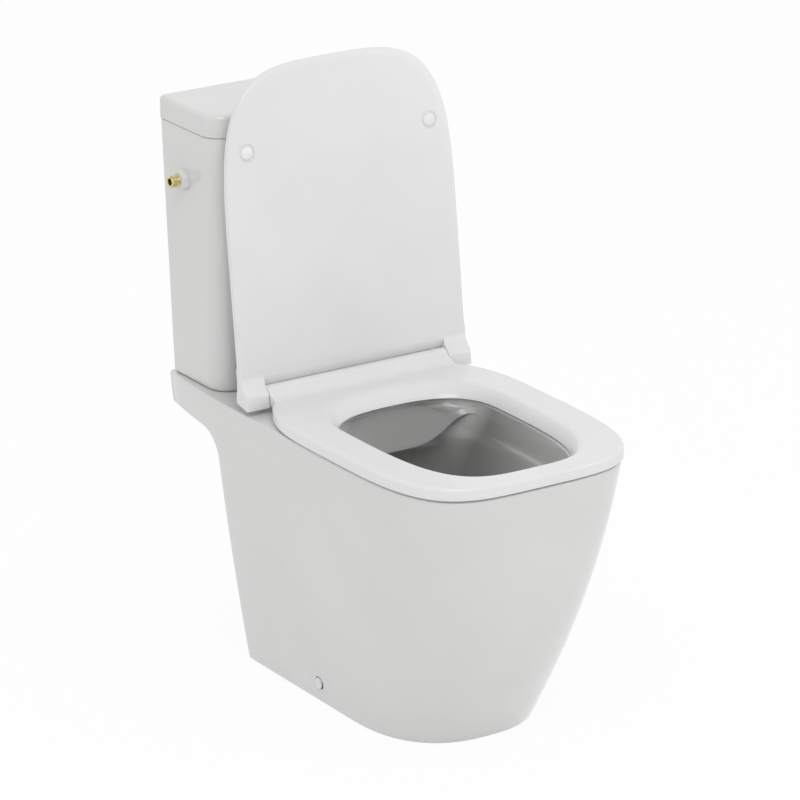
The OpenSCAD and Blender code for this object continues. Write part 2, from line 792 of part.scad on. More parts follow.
module button_nut() {
    nut_h = 7;
    color([0.92, 0.92, 0.92])
        translate([0, works_y, cover_under - nut_h])
            difference() {
                cylinder(d = bezel_od + 4, h = nut_h, $fn = 10);
                translate([0, 0, -cut])
                    cylinder(d = bezel_wall_od + 2 * run_fit, h = nut_h + 2 * cut, $fn = 48);
            }
}

// Half of the split button: side is -1 for the left half and 1 for the right.
module button_half(side) {
    color([0.82, 0.83, 0.84])
        translate([0, works_y, button_low_z])
            difference() {
                cylinder(d = button_od, h = button_top_z - button_low_z);
                translate([side < 0 ? -split_gap / 2 : -button_od, -button_od, -cut])
                    cube([button_od + split_gap / 2, 2 * button_od, 2 * button_od]);
            }
}
module full_button() { button_half(-1); }
module half_button() { button_half(1); }

// A push rod, from just above the valve's head to the underside of its button.
module push_rod(side) {
    foot_z = head_z + head_h + head_pad_h + button_travel + slip_fit;
    foot = [head_pad_x + rod_od - rod_x, rod_od, 4];      // arm that reaches out over the head's pad
    color([0.92, 0.92, 0.92])
        translate([0, works_y, foot_z])
            rotate([0, 0, side > 0 ? 0 : 180]) {
                translate([rod_x, 0, 0]) cylinder(d = rod_od, h = button_low_z - foot_z);
                translate([rod_x, -foot.y / 2, 0]) cube(foot);
            }
}
module full_button_rod() { push_rod(-1); }
module half_button_rod() { push_rod(1); }

// A coil spring round a push rod, as one swept polyhedron.
spring_wire = 1;
spring_od = 10.4;
spring_turns = 4;
module button_spring(side) {
    n = 6;                   // sides of the wire
    turn_steps = 12;
    mean_r = (spring_od - spring_wire) / 2;
    rise = button_low_z - spring_z - spring_wire;
    rings = [
        for (k = [0 : spring_turns * turn_steps])
            let (a = 360 * k / turn_steps, z = rise * k / (spring_turns * turn_steps))
            [
                for (j = [0 : n - 1])
                    let (r = mean_r + spring_wire / 2 * cos(360 * j / n))
                    [r * cos(a), r * sin(a), z + spring_wire / 2 * (1 - sin(360 * j / n))]
            ]
    ];
    color([0.70, 0.71, 0.73]) translate([side * rod_x, works_y, spring_z]) loft(rings);
}
module full_button_spring() { button_spring(-1); }
module half_button_spring() { button_spring(1); }

// ---- Fill valve ----

valve_stand_off = 26.7;  // from the cistern's wall to the middle of the fill valve's upright
valve_x = valve_stand_off - wall_in_x;
valve_od = 32;
fill_top_z = inlet_z + 36;
fill_low_z = inlet_z - 44;
pivot = [valve_x + 22, inlet_z + 28];     // the float's pivot, as x and z
inlet_end_x = -wall_out_x - inlet_out;
inlet_inner_x = valve_x - 12;
spout_od = 16;
spout_bore = 9;
spout_l = 70;
ear_x = 28;              // how far the ears that carry the float's pin reach from the upright
inlet_washer_t = 3;

// A round bar or tube along X, from x0 to x1 at the inlet's height.
module tube_x(x0, x1, od, id = 0) {
    translate([x0, inlet_y, inlet_z])
        rotate([0, 90, 0])
            difference() {
                cylinder(d = od, h = x1 - x0);
                if (id > 0) translate([0, 0, -cut]) cylinder(d = id, h = x1 - x0 + 2 * cut);
            }
}

module fill_valve_body() {
    ear_t = 3;
    color([0.93, 0.93, 0.92])
        difference() {
            union() {
                translate([valve_x, inlet_y, fill_low_z]) cylinder(d = valve_od, h = fill_top_z - fill_low_z);
                translate([valve_x, inlet_y, fill_low_z - spout_l]) cylinder(d = spout_od, h = spout_l + cut);
                tube_x(inlet_inner_x - 8, valve_x, inlet_od + 7);
                for (s = [-1, 1])
                    translate([valve_x, inlet_y + s * 6.5 - ear_t / 2, pivot[1] - 6])
                        cube([ear_x, ear_t, 12]);
            }
            tube_x(inlet_inner_x - 9, inlet_inner_x, inlet_shank_od + 2 * run_fit);
            tube_x(inlet_inner_x - 1, valve_x, inlet_bore);
            translate([valve_x, inlet_y, fill_low_z - spout_l - cut])
                cylinder(d = spout_bore, h = inlet_z - fill_low_z + spout_l + cut);
            translate([pivot[0], inlet_y, pivot[1]])
                rotate([90, 0, 0]) cylinder(d = float_pin_d + 2 * run_fit, h = valve_od, center = true);
        }
}

module fill_valve_cap() {
    color([0.25, 0.45, 0.75])
        translate([valve_x, inlet_y, fill_top_z]) {
            cylinder(d = valve_od + 4, h = 8);
            translate([0, 0, 7]) cylinder(d = 12, h = 7);
        }
}

inlet_shank_od = inlet_od - 0.8;        // plain shank behind the free end's thread
inlet_nut_t = 10;
inlet_free_x = -wall_out_x - inlet_nut_t;
module inlet_tail() {
    flange_x = -wall_in_x + inlet_washer_t;
    color([0.80, 0.62, 0.30])
        difference() {
            union() {
                tube_x(inlet_end_x, inlet_free_x, inlet_od);
                tube_x(inlet_free_x - cut, inlet_inner_x, inlet_shank_od);
                tube_x(flange_x, flange_x + 3, inlet_od + 10);
            }
            tube_x(inlet_end_x - cut, inlet_inner_x + cut, inlet_bore);
        }
}

module inlet_nut() {
    color([0.93, 0.93, 0.92])
        translate([inlet_free_x, inlet_y, inlet_z])
            rotate([0, 90, 0])
                difference() {
                    cylinder(d = inlet_nut_af / cos(30), h = inlet_nut_t, $fn = 6);
                    translate([0, 0, -cut])
                        cylinder(d = inlet_shank_od + 2 * run_fit, h = inlet_nut_t + 2 * cut, $fn = 48);
                }
}

module inlet_washer() {
    color([0.16, 0.16, 0.17])
        tube_x(-wall_in_x, -wall_in_x + inlet_washer_t, inlet_od + 9, inlet_shank_od + 2 * run_fit);
}

module inlet_filter() {
    color([0.30, 0.60, 0.35])
        tube_x(inlet_end_x + 3, inlet_end_x + 21, inlet_bore - 2 * run_fit, inlet_bore - 4);
}

float_pin_d = 4;
cup_size = [42, 56, 34];
arm_l = 52;
// The float's arm and cup hang by the float's swing when the cistern is empty.
module on_float_arm() {
    translate([pivot[0], inlet_y, pivot[1]]) rotate([0, float_swing, 0]) children();
}

module float_arm() {
    arm_w = 9;
    color([0.93, 0.93, 0.92])
        on_float_arm()
            difference() {
                union() {
                    rotate([90, 0, 0]) cylinder(d = 10, h = arm_w, center = true);
                    translate([0, -arm_w / 2, -2.5]) cube([arm_l, arm_w, 5]);
                }
                rotate([90, 0, 0]) cylinder(d = float_pin_d + 2 * run_fit, h = 2 * arm_w, center = true);
            }
}

module float_cup() {
    color([0.90, 0.90, 0.88])
        on_float_arm()
            translate([arm_l - cup_size.x / 2 + 8, -cup_size.y / 2, -2.5 - cup_size.z])
                difference() {
                    cube(cup_size);
                    translate([3, 3, -cut]) cube([cup_size.x - 6, cup_size.y - 6, cup_size.z - 3 + cut]);
                }
}

module float_pin() {
    color([0.70, 0.71, 0.73])
        translate([pivot[0], inlet_y, pivot[1]])
            rotate([90, 0, 0]) cylinder(d = float_pin_d, h = 17, center = true);
}

// ---- Seat ----

seat_top_z = seat_z + seat_t;
bar_r = barrel_od / 2;
ring_rear_d = hinge_d + bar_r + 2;      // rear edge of the ring, clear of the lid's knuckles
seat_round = 5;
seat_rear_over = 19.5;                  // how far the curve of the ring's rear corners would pass the hinge
seat_rear_reach = belly_d - hinge_d + seat_rear_over;

// The seat's outer edge at height z, pulled in by inset.
function seat_outer(z, inset) =
    [
        for (k = [0 : arc_steps])
            let (p = oval(seat_half - inset, seat_d - inset - belly_d, rim_square, 180 * k / arc_steps))
            [p.x, out(belly_d) + p.y, z],
        for (k = [1 : rear_steps])
            let (p = oval(seat_half - inset, inset - seat_rear_reach, 3, 180 - 180 * k / (rear_steps + 1)))
            [p.x, min(out(belly_d) + p.y, out(ring_rear_d + inset)), z]
    ];

// The edge of the seat's opening at height z, pulled in by inset.
function seat_inner(z, inset) =
    bowl_level(z, seat_open_d + 2 * inset, seat_d - seat_front - inset, seat_open_half - inset, 3.3);

module buffer_pockets(places, z, h) {
    for (p = places) translate([p.x, p.y, z]) cylinder(d = buffer_od + 2 * run_fit, h = h);
}

// How far the buffers lie from the hinge's axis, and from the middle.
seat_buffer_x = seat_half - 32;
seat_buffer_rear_l = 149;
seat_buffer_front_l = 340;
lid_buffer_x = seat_half - 36;
lid_buffer_l = 329;
seat_buffer_places = [
    for (x = [-1, 1], l = [seat_buffer_rear_l, seat_buffer_front_l]) [x * seat_buffer_x, out(hinge_d + l)]
];

module along_barrel(x0, x1, r) {
    translate([x0, hinge_y, hinge_z]) rotate([0, 90, 0]) cylinder(r = r, h = x1 - x0);
}

block_w = 26;            // width of each hinge block
block_r = bar_r - 2.4;   // radius of its barrel
neck_w = 13;             // width of its neck, front to back
notch_x = post_pitch / 2 - block_w / 2 - 1;
notch_l = block_w + 2;
damper_l = 42;
knuckle_gap = 0.6;       // between the seat's barrel and each knuckle of the lid

// The sweep of a hinge block's neck as the seat turns, as a wedge round the hinge's axis.
module neck_sweep() {
    reach = 60;
    from = -52;
    to = 52 + seat_turn;
    translate([0, hinge_y, hinge_z])
        rotate([90, 0, 90])
            linear_extrude(notch_l)
                polygon([[0, 0], for (a = [from, 0, 45, 90, to]) reach * [sin(a), -cos(a)]]);
}

module seat_ring() {
    top = hinge_z + bar_r;
    color([0.95, 0.95, 0.94])
        difference() {
            union() {
                loft_loop([
                    seat_inner(seat_z, seat_slope), seat_inner(seat_z + 4, seat_slope * 0.85),
                    seat_inner(seat_top_z - 3, seat_slope * 0.3), seat_inner(seat_top_z, -3),
                    seat_outer(seat_top_z, seat_round), seat_outer(seat_top_z - 1.5, seat_round * 0.3),
                    seat_outer(seat_top_z - seat_round, 0), seat_outer(seat_z + 3, 0), seat_outer(seat_z, 2)
                ]);
                along_barrel(-barrel_l / 2, barrel_l / 2, bar_r);
                // The web that joins the barrel to the ring, with a ramp down to the ring's top.
                translate([-barrel_l / 2 + 1, hinge_y, hinge_z])
                    rotate([90, 0, 90])
                        linear_extrude(barrel_l - 2)
                            polygon([
                                [0, 1 - bar_r], [-bar_r - 12, 1 - bar_r],
                                [-bar_r - 16, seat_top_z - hinge_z - 1],
                                [-bar_r - 14, seat_top_z - hinge_z],
                                [-bar_r * 0.95, bar_r * 0.3], [0, bar_r * 0.9]
                            ]);
            }
            for (s = [-1, 1])
                mirror([s < 0 ? 1 : 0, 0, 0]) {
                    along_barrel(notch_x, notch_x + notch_l, block_r + slip_fit);
                    translate([notch_x, 0, 0]) neck_sweep();
                    along_barrel(notch_x, barrel_l / 2 + cut, pin_d / 2 + slip_fit);
                    along_barrel(barrel_l / 2 - damper_l - 2, barrel_l / 2 + cut, damper_od / 2 + run_fit);
                }
            buffer_pockets(seat_buffer_places, seat_z - cut, 3 + cut);
        }
}

module seat_buffers() {
    color([0.93, 0.93, 0.92])
        for (p = seat_buffer_places)
            translate([p.x, p.y, rim_z + slip_fit])
                cylinder(d = buffer_od, h = seat_z + 3 - rim_z - slip_fit);
}

// A damper or a plain bush round a hinge pin, from x0 along the barrel.
module hinge_liner(x0, length) {
    difference() {
        along_barrel(x0, x0 + length, damper_od / 2);
        along_barrel(x0 - cut, x0 + length + cut, pin_d / 2 + run_fit);
    }
}

knuckle_x = barrel_l / 2 + knuckle_gap;
knuckle_end = 4;         // thickness of the knuckle's closed end
knuckle_l = seat_half - knuckle_x;
knuckle_bore = knuckle_l - knuckle_end;

module seat_damper() { color([0.35, 0.36, 0.38]) hinge_liner(barrel_l / 2 - damper_l - 1, damper_l); }
module seat_bush() { color([0.90, 0.90, 0.88]) hinge_liner(1 - barrel_l / 2, damper_l); }

// ---- Lid, drawn closed in its own place and turned open about the hinge ----

lid_turn = 90 + lid_lean;
module opened() {
    translate([0, hinge_y, hinge_z])
        rotate([-lid_turn, 0, 0])
            translate([0, -hinge_y, -hinge_z])
                children();
}

lid_under = -1;          // underside of the closed lid above the hinge's axis
lid_rear = 24;           // distance from the hinge's axis to the lid's full thickness, in front of the web
lip_rear = 13.4;         // distance from the hinge's axis to the thin lip behind it, over the web
lip_rise = 5.6;          // how far the lip's underside rises over the web
lip_t = 4;               // thickness of the lip at its rear edge
lid_ease_low = 2;        // rounding of the lid's edge at its underside
lid_ease_high = 4;       // rounding of the lid's edge at its outer face
lid_front_d = hinge_d + lid_reach;
function lid_level(z, inset) =
    [
        for (k = [0 : arc_steps])
            let (p = oval(seat_half - inset, lid_front_d - inset - belly_d, lid_square, 180 * k / arc_steps))
            [p.x, out(belly_d) + p.y, hinge_z + z],
        for (s = [-1, 1]) [s * (seat_half - inset), out(hinge_d + lid_rear + inset), hinge_z + z]
    ];

module seat_lid() {
    edge = lid_under + lid_edge_t;
    color([0.95, 0.95, 0.94])
        opened()
            difference() {
                union() {
                    loft([
                        lid_level(edge + lid_crown, 120), lid_level(edge + lid_crown * 0.6, 50),
                        lid_level(edge, 5), lid_level(edge - 1, 2), lid_level(edge - lid_ease_high, 0),
                        lid_level(lid_under + lid_ease_low, 0), lid_level(lid_under, lid_ease_low)
                    ]);
                    for (s = [-1, 1])
                        mirror([s < 0 ? 1 : 0, 0, 0]) {
                            along_barrel(knuckle_x, seat_half, bar_r);
                            translate([knuckle_x, hinge_y - lid_rear - 10, hinge_z + lid_under])
                                cube([knuckle_l, lid_rear + 10, lid_edge_t]);
                        }
                }
                for (s = [-1, 1])
                    mirror([s < 0 ? 1 : 0, 0, 0])
                        along_barrel(knuckle_x - cut, knuckle_x + knuckle_bore, damper_od / 2 + run_fit);
                buffer_pockets(lid_buffer_places, hinge_z + lid_under - cut, 3 + cut);
            }
}

// The lid's thin rear edge, which closes down to the barrel between the knuckles.
module lid_rear_lip() {
    color([0.95, 0.95, 0.94])
        opened()
            translate([-knuckle_x, hinge_y, hinge_z + lid_under])
                rotate([90, 0, 90])
                    linear_extrude(2 * knuckle_x)
                        polygon([
                            [-lid_rear, lid_ease_low], [-lip_rear, lip_rise],
                            [-lip_rear, lip_rise + lip_t], [-lid_rear, lid_edge_t - lid_ease_high]
                        ]);
}

lid_buffer_places = [for (x = [-1, 1]) [x * lid_buffer_x, out(hinge_d + lid_buffer_l)]];
lid_buffer_out = hinge_z + lid_under - seat_top_z - slip_fit;      // how far the lid's buffers stand out
module lid_buffers() {
    color([0.93, 0.93, 0.92])
        opened()
            for (p = lid_buffer_places)
                translate([p.x, p.y, hinge_z + lid_under - lid_buffer_out])
                    cylinder(d = buffer_od, h = lid_buffer_out + 3);
}

liner_l = knuckle_bore - 2;
module lid_damper() { color([0.35, 0.36, 0.38]) hinge_liner(-knuckle_x - knuckle_bore + 1, liner_l); }
module lid_bush() { color([0.90, 0.90, 0.88]) hinge_liner(knuckle_x + 1, liner_l); }

// ---- Hinge fixings ----

plate_t = 2;
plate_od = 34;
plug_lip = 2;
plug_od = hinge_hole + 9;
hinge_nut_h = 8;
hinge_nut_od = 22;
post_tail = 14;          // length of each post below its nut
hinge_nut_z = rim_z - deck_t - plug_lip - hinge_nut_h;
post_roof = 3;           // metal between the post's hole and the pin's hole
post_hole_h = hinge_h - plate_t - pin_d / 2 - post_roof;
module hinge_blocks() {
    color([0.60, 0.61, 0.63])
        for (s = [-1, 1])
            difference() {
                union() {
                    along_barrel(s * post_pitch / 2 - block_w / 2, s * post_pitch / 2 + block_w / 2, block_r);
                    translate([s * post_pitch / 2 - block_w / 2, hinge_y - neck_w / 2, rim_z + plate_t])
                        cube([block_w, neck_w, hinge_h - plate_t]);
                }
                along_barrel(-seat_half, seat_half, pin_d / 2 + run_fit);
                translate([s * post_pitch / 2, hinge_y, rim_z + plate_t - cut])
                    cylinder(d = post_d + 2 * run_fit, h = post_hole_h + cut);
            }
}

module hinge_pins() {
    color([0.72, 0.73, 0.75])
        for (s = [-1, 1])
            mirror([s < 0 ? 1 : 0, 0, 0])
                along_barrel(post_pitch / 2 - block_w / 2 + 1, knuckle_x + knuckle_bore - 1, pin_d / 2);
}

module hinge_posts() {
    color([0.72, 0.73, 0.75])
        for (s = [-1, 1])
            translate([s * post_pitch / 2, hinge_y, hinge_nut_z - post_tail])
                cylinder(d = post_d, h = rim_z + plate_t + post_hole_h - cut - hinge_nut_z + post_tail);
}

module hinge_plates() {
    color([0.75, 0.76, 0.78])
        for (s = [-1, 1])
            translate([s * post_pitch / 2, hinge_y, rim_z])
                difference() {
                    cylinder(d = plate_od, h = plate_t);
                    translate([0, 0, -cut]) cylinder(d = post_d + 2 * run_fit, h = plate_t + 2 * cut);
                }
}

module hinge_plugs() {
    color([0.25, 0.25, 0.26])
        for (s = [-1, 1])
            translate([s * post_pitch / 2, hinge_y, rim_z - deck_t - plug_lip])
                difference() {
                    union() {
                        translate([0, 0, plug_lip]) cylinder(d = hinge_hole - 2 * run_fit, h = deck_t);
                        cylinder(d = plug_od, h = plug_lip);
                    }
                    translate([0, 0, -cut])
                        cylinder(d = post_d + 2 * run_fit, h = deck_t + plug_lip + 2 * cut);
                }
}

module hinge_nuts() {
    color([0.90, 0.90, 0.88])
        for (s = [-1, 1])
            translate([s * post_pitch / 2, hinge_y, hinge_nut_z])
                difference() {
                    cylinder(d = hinge_nut_od, h = hinge_nut_h, $fn = 6);
                    translate([0, 0, -cut])
                        cylinder(d = post_d + 2 * run_fit, h = hinge_nut_h + 2 * cut, $fn = 48);
                }
}

// ---- Floor fixings ----

bracket_out = pan_half(side_screw_z) - skirt_t - 6;       // outer face of each bracket's block
bracket_l = 44;
bracket_block = 22;
module floor_brackets() {
    foot_in = bracket_pitch / 2 - 12;
    color([0.88, 0.88, 0.86])
        for (s = [-1, 1])
            mirror([s < 0 ? 1 : 0, 0, 0])
                difference() {
                    union() {
                        translate([bracket_out - bracket_block, out(side_screw_d) - bracket_l / 2, 0])
                            cube([bracket_block, bracket_l, side_screw_z + 14]);
                        translate([foot_in, out(side_screw_d) - bracket_l / 2, 0])
                            cube([bracket_out - foot_in, bracket_l, 6]);
                    }
                    translate([bracket_pitch / 2, out(side_screw_d), -cut])
                        cylinder(d = bracket_hole, h = 6 + 2 * cut);
                    translate([bracket_out - bracket_block - cut, out(side_screw_d), side_screw_z])
                        rotate([0, 90, 0])
                            cylinder(d = side_screw_od + 2 * run_fit, h = bracket_block + 2 * cut);
                }
}

screw_head_t = 3;
module side_screws() {
    color([0.72, 0.73, 0.75])
        for (s = [-1, 1])
            mirror([s < 0 ? 1 : 0, 0, 0])
                translate([0, out(side_screw_d), side_screw_z])
                    rotate([0, 90, 0]) {
                        translate([0, 0, bracket_out - bracket_block + 2])
                            cylinder(d = side_screw_od, h = pocket_floor - bracket_out + bracket_block - 1);
                        translate([0, 0, pocket_floor]) cylinder(d = 2 * side_screw_od, h = screw_head_t);
                    }
}

cap_h = 5.5;
cap_round = 1.5;
cap_t = 1.2;
module side_caps() {
    color([0.80, 0.81, 0.82])
        for (s = [-1, 1])
            mirror([s < 0 ? 1 : 0, 0, 0])
                translate([pocket_floor, out(side_screw_d), side_screw_z])
                    rotate([0, 90, 0])
                        difference() {
                            union() {
                                cylinder(d = cap_od, h = cap_h - cap_round);
                                translate([0, 0, cap_h - cap_round])
                                    cylinder(d1 = cap_od, d2 = cap_od - 2 * cap_round, h = cap_round);
                            }
                            translate([0, 0, -cut]) cylinder(d = cap_od - 2 * cap_t, h = cap_h - cap_t + cut);
                        }
}

pan_rim();
pan_skirt();
pan_bowl();
pan_trapway();
cistern_tank();
cistern_lid();
coupling_seal();
coupling_bolts();
coupling_bolt_seals();
coupling_washers();
coupling_wing_nuts();
flush_valve_body();
flush_valve_washer();
flush_valve_nut();
flush_valve_head();
overflow_tube();
flush_seal();
button_bezel();
button_nut();
full_button();
half_button();
full_button_rod();
half_button_rod();
full_button_spring();
half_button_spring();
fill_valve_body();
fill_valve_cap();
inlet_tail();
inlet_nut();
inlet_washer();
inlet_filter();
float_arm();
float_cup();
float_pin();
seat_ring();
seat_buffers();
seat_damper();
seat_bush();
seat_lid();
lid_rear_lip();
lid_buffers();
lid_damper();
lid_bush();
hinge_blocks();
hinge_pins();
hinge_posts();
hinge_plates();
hinge_plugs();
hinge_nuts();
floor_brackets();
side_screws();
side_caps();
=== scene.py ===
"""Dresses the close coupled toilet: glazed pan and cistern, moulded seat and lid, metal fittings."""

import bisect
import json
import math

import bmesh
import bpy
from bpy.props import FloatProperty, FloatVectorProperty, PointerProperty
from mathutils import Matrix, Vector


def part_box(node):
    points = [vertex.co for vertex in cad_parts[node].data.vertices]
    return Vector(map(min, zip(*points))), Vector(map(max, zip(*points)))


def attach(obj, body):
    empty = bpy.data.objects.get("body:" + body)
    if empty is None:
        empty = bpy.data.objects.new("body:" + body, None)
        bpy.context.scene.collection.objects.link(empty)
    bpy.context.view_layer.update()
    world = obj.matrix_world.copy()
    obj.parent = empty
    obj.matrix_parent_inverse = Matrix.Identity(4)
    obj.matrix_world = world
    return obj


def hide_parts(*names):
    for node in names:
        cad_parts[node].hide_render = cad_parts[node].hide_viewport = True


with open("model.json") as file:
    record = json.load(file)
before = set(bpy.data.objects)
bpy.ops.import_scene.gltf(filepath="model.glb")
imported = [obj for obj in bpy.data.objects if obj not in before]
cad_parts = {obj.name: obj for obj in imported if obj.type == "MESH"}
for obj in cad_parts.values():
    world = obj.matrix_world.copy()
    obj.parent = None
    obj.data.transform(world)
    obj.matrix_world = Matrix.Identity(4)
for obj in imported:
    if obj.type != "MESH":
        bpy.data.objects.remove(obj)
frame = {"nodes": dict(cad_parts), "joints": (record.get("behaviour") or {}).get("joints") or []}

bl_info = {
    "name": "Close Coupled Toilet",
    "version": (1, 0, 0),
    "blender": (4, 5, 0),
    "location": "View3D > Sidebar > Toilet",
    "description": "Builds the visible pieces of a close coupled toilet on its packed solids",
    "category": "Object",
}

MM = 0.001

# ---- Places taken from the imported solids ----

PAN_LOW, PAN_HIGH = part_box("pan_rim")
TANK_LOW, TANK_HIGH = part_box("cistern_tank")
COVER_LOW, COVER_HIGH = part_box("cistern_lid")
RING_LOW, RING_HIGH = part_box("seat_ring")
TAIL_LOW, TAIL_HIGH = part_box("inlet_tail")
NUT_LOW, NUT_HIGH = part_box("inlet_nut")
CAPS_LOW, CAPS_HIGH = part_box("side_caps")
WALL_Y = PAN_HIGH.y
RIM_Z = PAN_HIGH.z
PAN_W = PAN_HIGH.x - PAN_LOW.x
PAN_D = WALL_Y - PAN_LOW.y
LID_HINGE = next(joint for joint in frame["joints"] if joint["name"] == "lid_hinge")
HINGE = Vector(LID_HINGE["pos_m"])
LID_TURN = math.radians(LID_HINGE["range_deg"][1])
HINGE_D = WALL_Y - HINGE.y
SEAT_HALF = RING_HIGH.x
SEAT_D = WALL_Y - RING_LOW.y
SEAT_Z = RING_LOW.z


def centre(low, high):
    """The middle of a box."""
    return tuple((a + b) / 2 for a, b in zip(low, high))


WORKS_Y = centre(*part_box("button_bezel"))[1]
NUT_Y, NUT_Z = centre(NUT_LOW, NUT_HIGH)[1:]
CAPS_Y, CAPS_Z = centre(CAPS_LOW, CAPS_HIGH)[1:]
CAPS_R = (CAPS_HIGH.z - CAPS_LOW.z) / 2

# ---- Shapes that stay when a size changes ----

# Squareness of the rounded outlines: 2 is an ellipse, and more is squarer.
FOOT_SQUARE, RIM_SQUARE, LID_SQUARE, SEAT_REAR_SQUARE = 2.5, 4.2, 3.8, 3
BOWL_SQUARE, OPENING_SQUARE, OPENING_REAR_SQUARE = 3.2, 3.6, 2.6
# How much the pan's side and front bulge between foot and rim.
SIDE_BULGE, FRONT_BULGE = 0.25, 0.75
# How far in front of the wall the shelf has narrowed to its width at the wall.
FLARE_D = 162 * MM
# The seat's neck: its width, and its middle beside the toilet's own.
NECK_W, NECK_X = 28 * MM, 77.5 * MM
# The lid's two pads: how far inside its edge, and how far in front of the hinge.
PAD_INSET, PAD_D, PAD_WELL_R = 36 * MM, 329 * MM, 12.5 * MM
# The inlet: its thread is drawn coarser than a real one of 1.3 mm pitch, so that it shows.
THREAD_CREST, THREAD_PITCH, THREAD_DEPTH = 8.33 * MM, 2.2 * MM, 1.0 * MM
INLET_BORE, INLET_SHANK, INLET_HOLE, INLET_BOSS = 5.0 * MM, 7.8 * MM, 8.6 * MM, 14.5 * MM
CAP_HEIGHT = 5.5 * MM


def out(d):
    """The y of a place d in front of the wall."""
    return WALL_Y - d


# ---- Sizes and colours that a user may change ----


def length(name, description, value):
    return FloatProperty(name=name, description=description, default=value * MM, unit="LENGTH")


def linear(hexcode):
    """A linear colour from an sRGB hex value."""
    parts = [int(hexcode[k : k + 2], 16) / 255 for k in (1, 3, 5)]
    return tuple(c / 12.92 if c <= 0.04045 else ((c + 0.055) / 1.055) ** 2.4 for c in parts)


def colour(name, description, hexcode):
    return FloatVectorProperty(
        name=name, description=description, default=linear(hexcode), size=3, subtype="COLOR", min=0, max=1
    )


class PanSizes(bpy.types.PropertyGroup):
    foot_w: length("Foot width", "Width of the pan where it meets the floor", 247)
    foot_d: length("Foot depth", "Distance from the wall to the front of the foot", 541)
    belly_d: length("Widest place", "Distance from the wall to the pan's widest place", 392)
    skirt_d: length("Skirt rear", "Distance from the wall to the rear edge of the skirt", 130)
    skirt_t: length("Skirt wall", "Thickness of the skirt's wall", 12)
    shelf_t: length("Shelf thickness", "Thickness of the shelf that carries the cistern", 44)
    shelf_w: length("Shelf width", "Width of the shelf at the wall", 331)
    fillet: length("Shelf fillet", "Radius between the shelf's underside and the skirt", 40)
    deck_t: length("Deck thickness", "Thickness of the deck round the bowl", 16)
    edge_r: length("Rim edge", "Radius of the rim's outer edge", 3.2)


class BowlSizes(bpy.types.PropertyGroup):
    rim_side: length("Side rim", "Width of the rim beside the bowl", 57)
    rear_d: length("Bowl rear", "Distance from the wall to the rear of the bowl's mouth", 292)
    rim_front: length("Front rim", "Width of the rim in front of the bowl", 34)
    drop: length("Bowl depth", "Depth of the bowl below the rim", 358)
    wall: length("Bowl wall", "Thickness of the bowl's wall", 11)
    guide_out: length("Guide reach", "Reach of the water guide over the bowl", 29)
    guide_drop: length("Guide drop", "Depth of the water guide's front edge below the rim", 49)
    guide_end: length("Guide end", "Depth of the water guide's edge where it meets the side wall", 16)
    outlet_z: length("Outlet height", "Height of the outlet spigot's middle", 180)
    outlet_od: length("Outlet diameter", "Outer diameter of the outlet spigot", 102)
    trap_bore: length("Trap bore", "Bore of the trap between the bowl and the outlet", 68)


class CisternSizes(bpy.types.PropertyGroup):
    gap: length("Wall gap", "Gap between the cistern and the wall", 6)
    foot_w: length("Foot width", "Width of the cistern at its foot", 327)
    top_w: length("Top width", "Width of the cistern under its lid", 355)
    foot_d: length("Foot depth", "Distance from the wall to the cistern's front at its foot", 131)
    top_d: length("Top depth", "Distance from the wall to the cistern's front at its top", 147)
    front_r: length("Front corner", "Radius of the cistern's front corners", 30)
    rear_r: length("Rear corner", "Radius of the cistern's rear corners", 10)
    wall: length("Wall", "Thickness of the cistern's wall", 9)
    cover_r: length("Lid edge", "Radius of the cistern lid's upper edge", 6)
    cover_hole: length("Button hole", "Diameter of the hole for the flush button", 46)


class SeatSizes(bpy.types.PropertyGroup):
    side: length("Side width", "Width of the seat ring at each side", 53)
    front: length("Front width", "Width of the seat ring at the front", 33)
    open_d: length("Opening rear", "Distance from the wall to the rear of the seat's opening", 280)
    thickness: length("Ring thickness", "Thickness of the seat ring", 17.5)
    slope: length("Inner slope", "Reach of the seat's sloping inner edge", 11)
    barrel_r: length("Barrel radius", "Radius of the hinge barrel", 12)
    barrel_l: length("Barrel length", "Length of the seat's hinge barrel", 288)
    lid_reach: length("Lid reach", "Reach of the lid from the hinge's axis", 441)
    lid_t: length("Lid thickness", "Thickness of the lid at its edge", 11)
    lid_crown: length("Lid crown", "Rise of the lid's outer face in its middle", 4)


class Finishes(bpy.types.PropertyGroup):
    glaze: colour("Glaze", "White vitreous china glaze", "#D4D4D3")
    glaze_light: colour("Glaze, lighter", "Lighter patches of the glaze", "#D7D7D6")
    # The bowl colour is painted shade, mixed into the glaze inside the bowl below the rim.
    bowl: colour("Bowl", "Painted shade mixed into the glaze inside the bowl, below the rim, most at the rear", "#868685")
    seat: colour("Seat", "White urea moulding of the seat and lid", "#DFDFDF")
    seat_light: colour("Seat, lighter", "Lighter patches of the seat and lid", "#E2E2E2")
    chrome: colour("Chrome", "Bright chrome plate", "#C9CBCD")
    chrome_light: colour("Chrome, lighter", "Lighter patches of the chrome", "#D6D8DA")
    brass: colour("Brass", "Turned brass", "#C6B678")
    brass_light: colour("Brass, lighter", "Lighter patches of the brass", "#E2D8A8")


# ---- Mesh helpers ----


def power(v, p):
    return math.copysign(abs(v) ** p, v)


def mix(a, b, t):
    return a + (b - a) * t


def ease(t, low=0.0, high=1.0):
    """A smooth step from 0 to 1 as t goes from low to high."""
    t = min(max((t - low) / (high - low), 0.0), 1.0)
    return t * t * (3 - 2 * t)


def oval(a, b, square, turn):
    """A point of a superellipse of half sizes a and b, at a turn in degrees."""
    c, s = math.cos(math.radians(turn)), math.sin(math.radians(turn))
    return a * power(c, 2 / square), -b * power(s, 2 / square)


def half_oval(a, b, square, start=0):
    """Half a superellipse as a fine line, from the turn start, 0 or 180 degrees, to the other."""
    return [oval(a, b, square, abs(start - 180 * k / 720)) for k in range(721)]


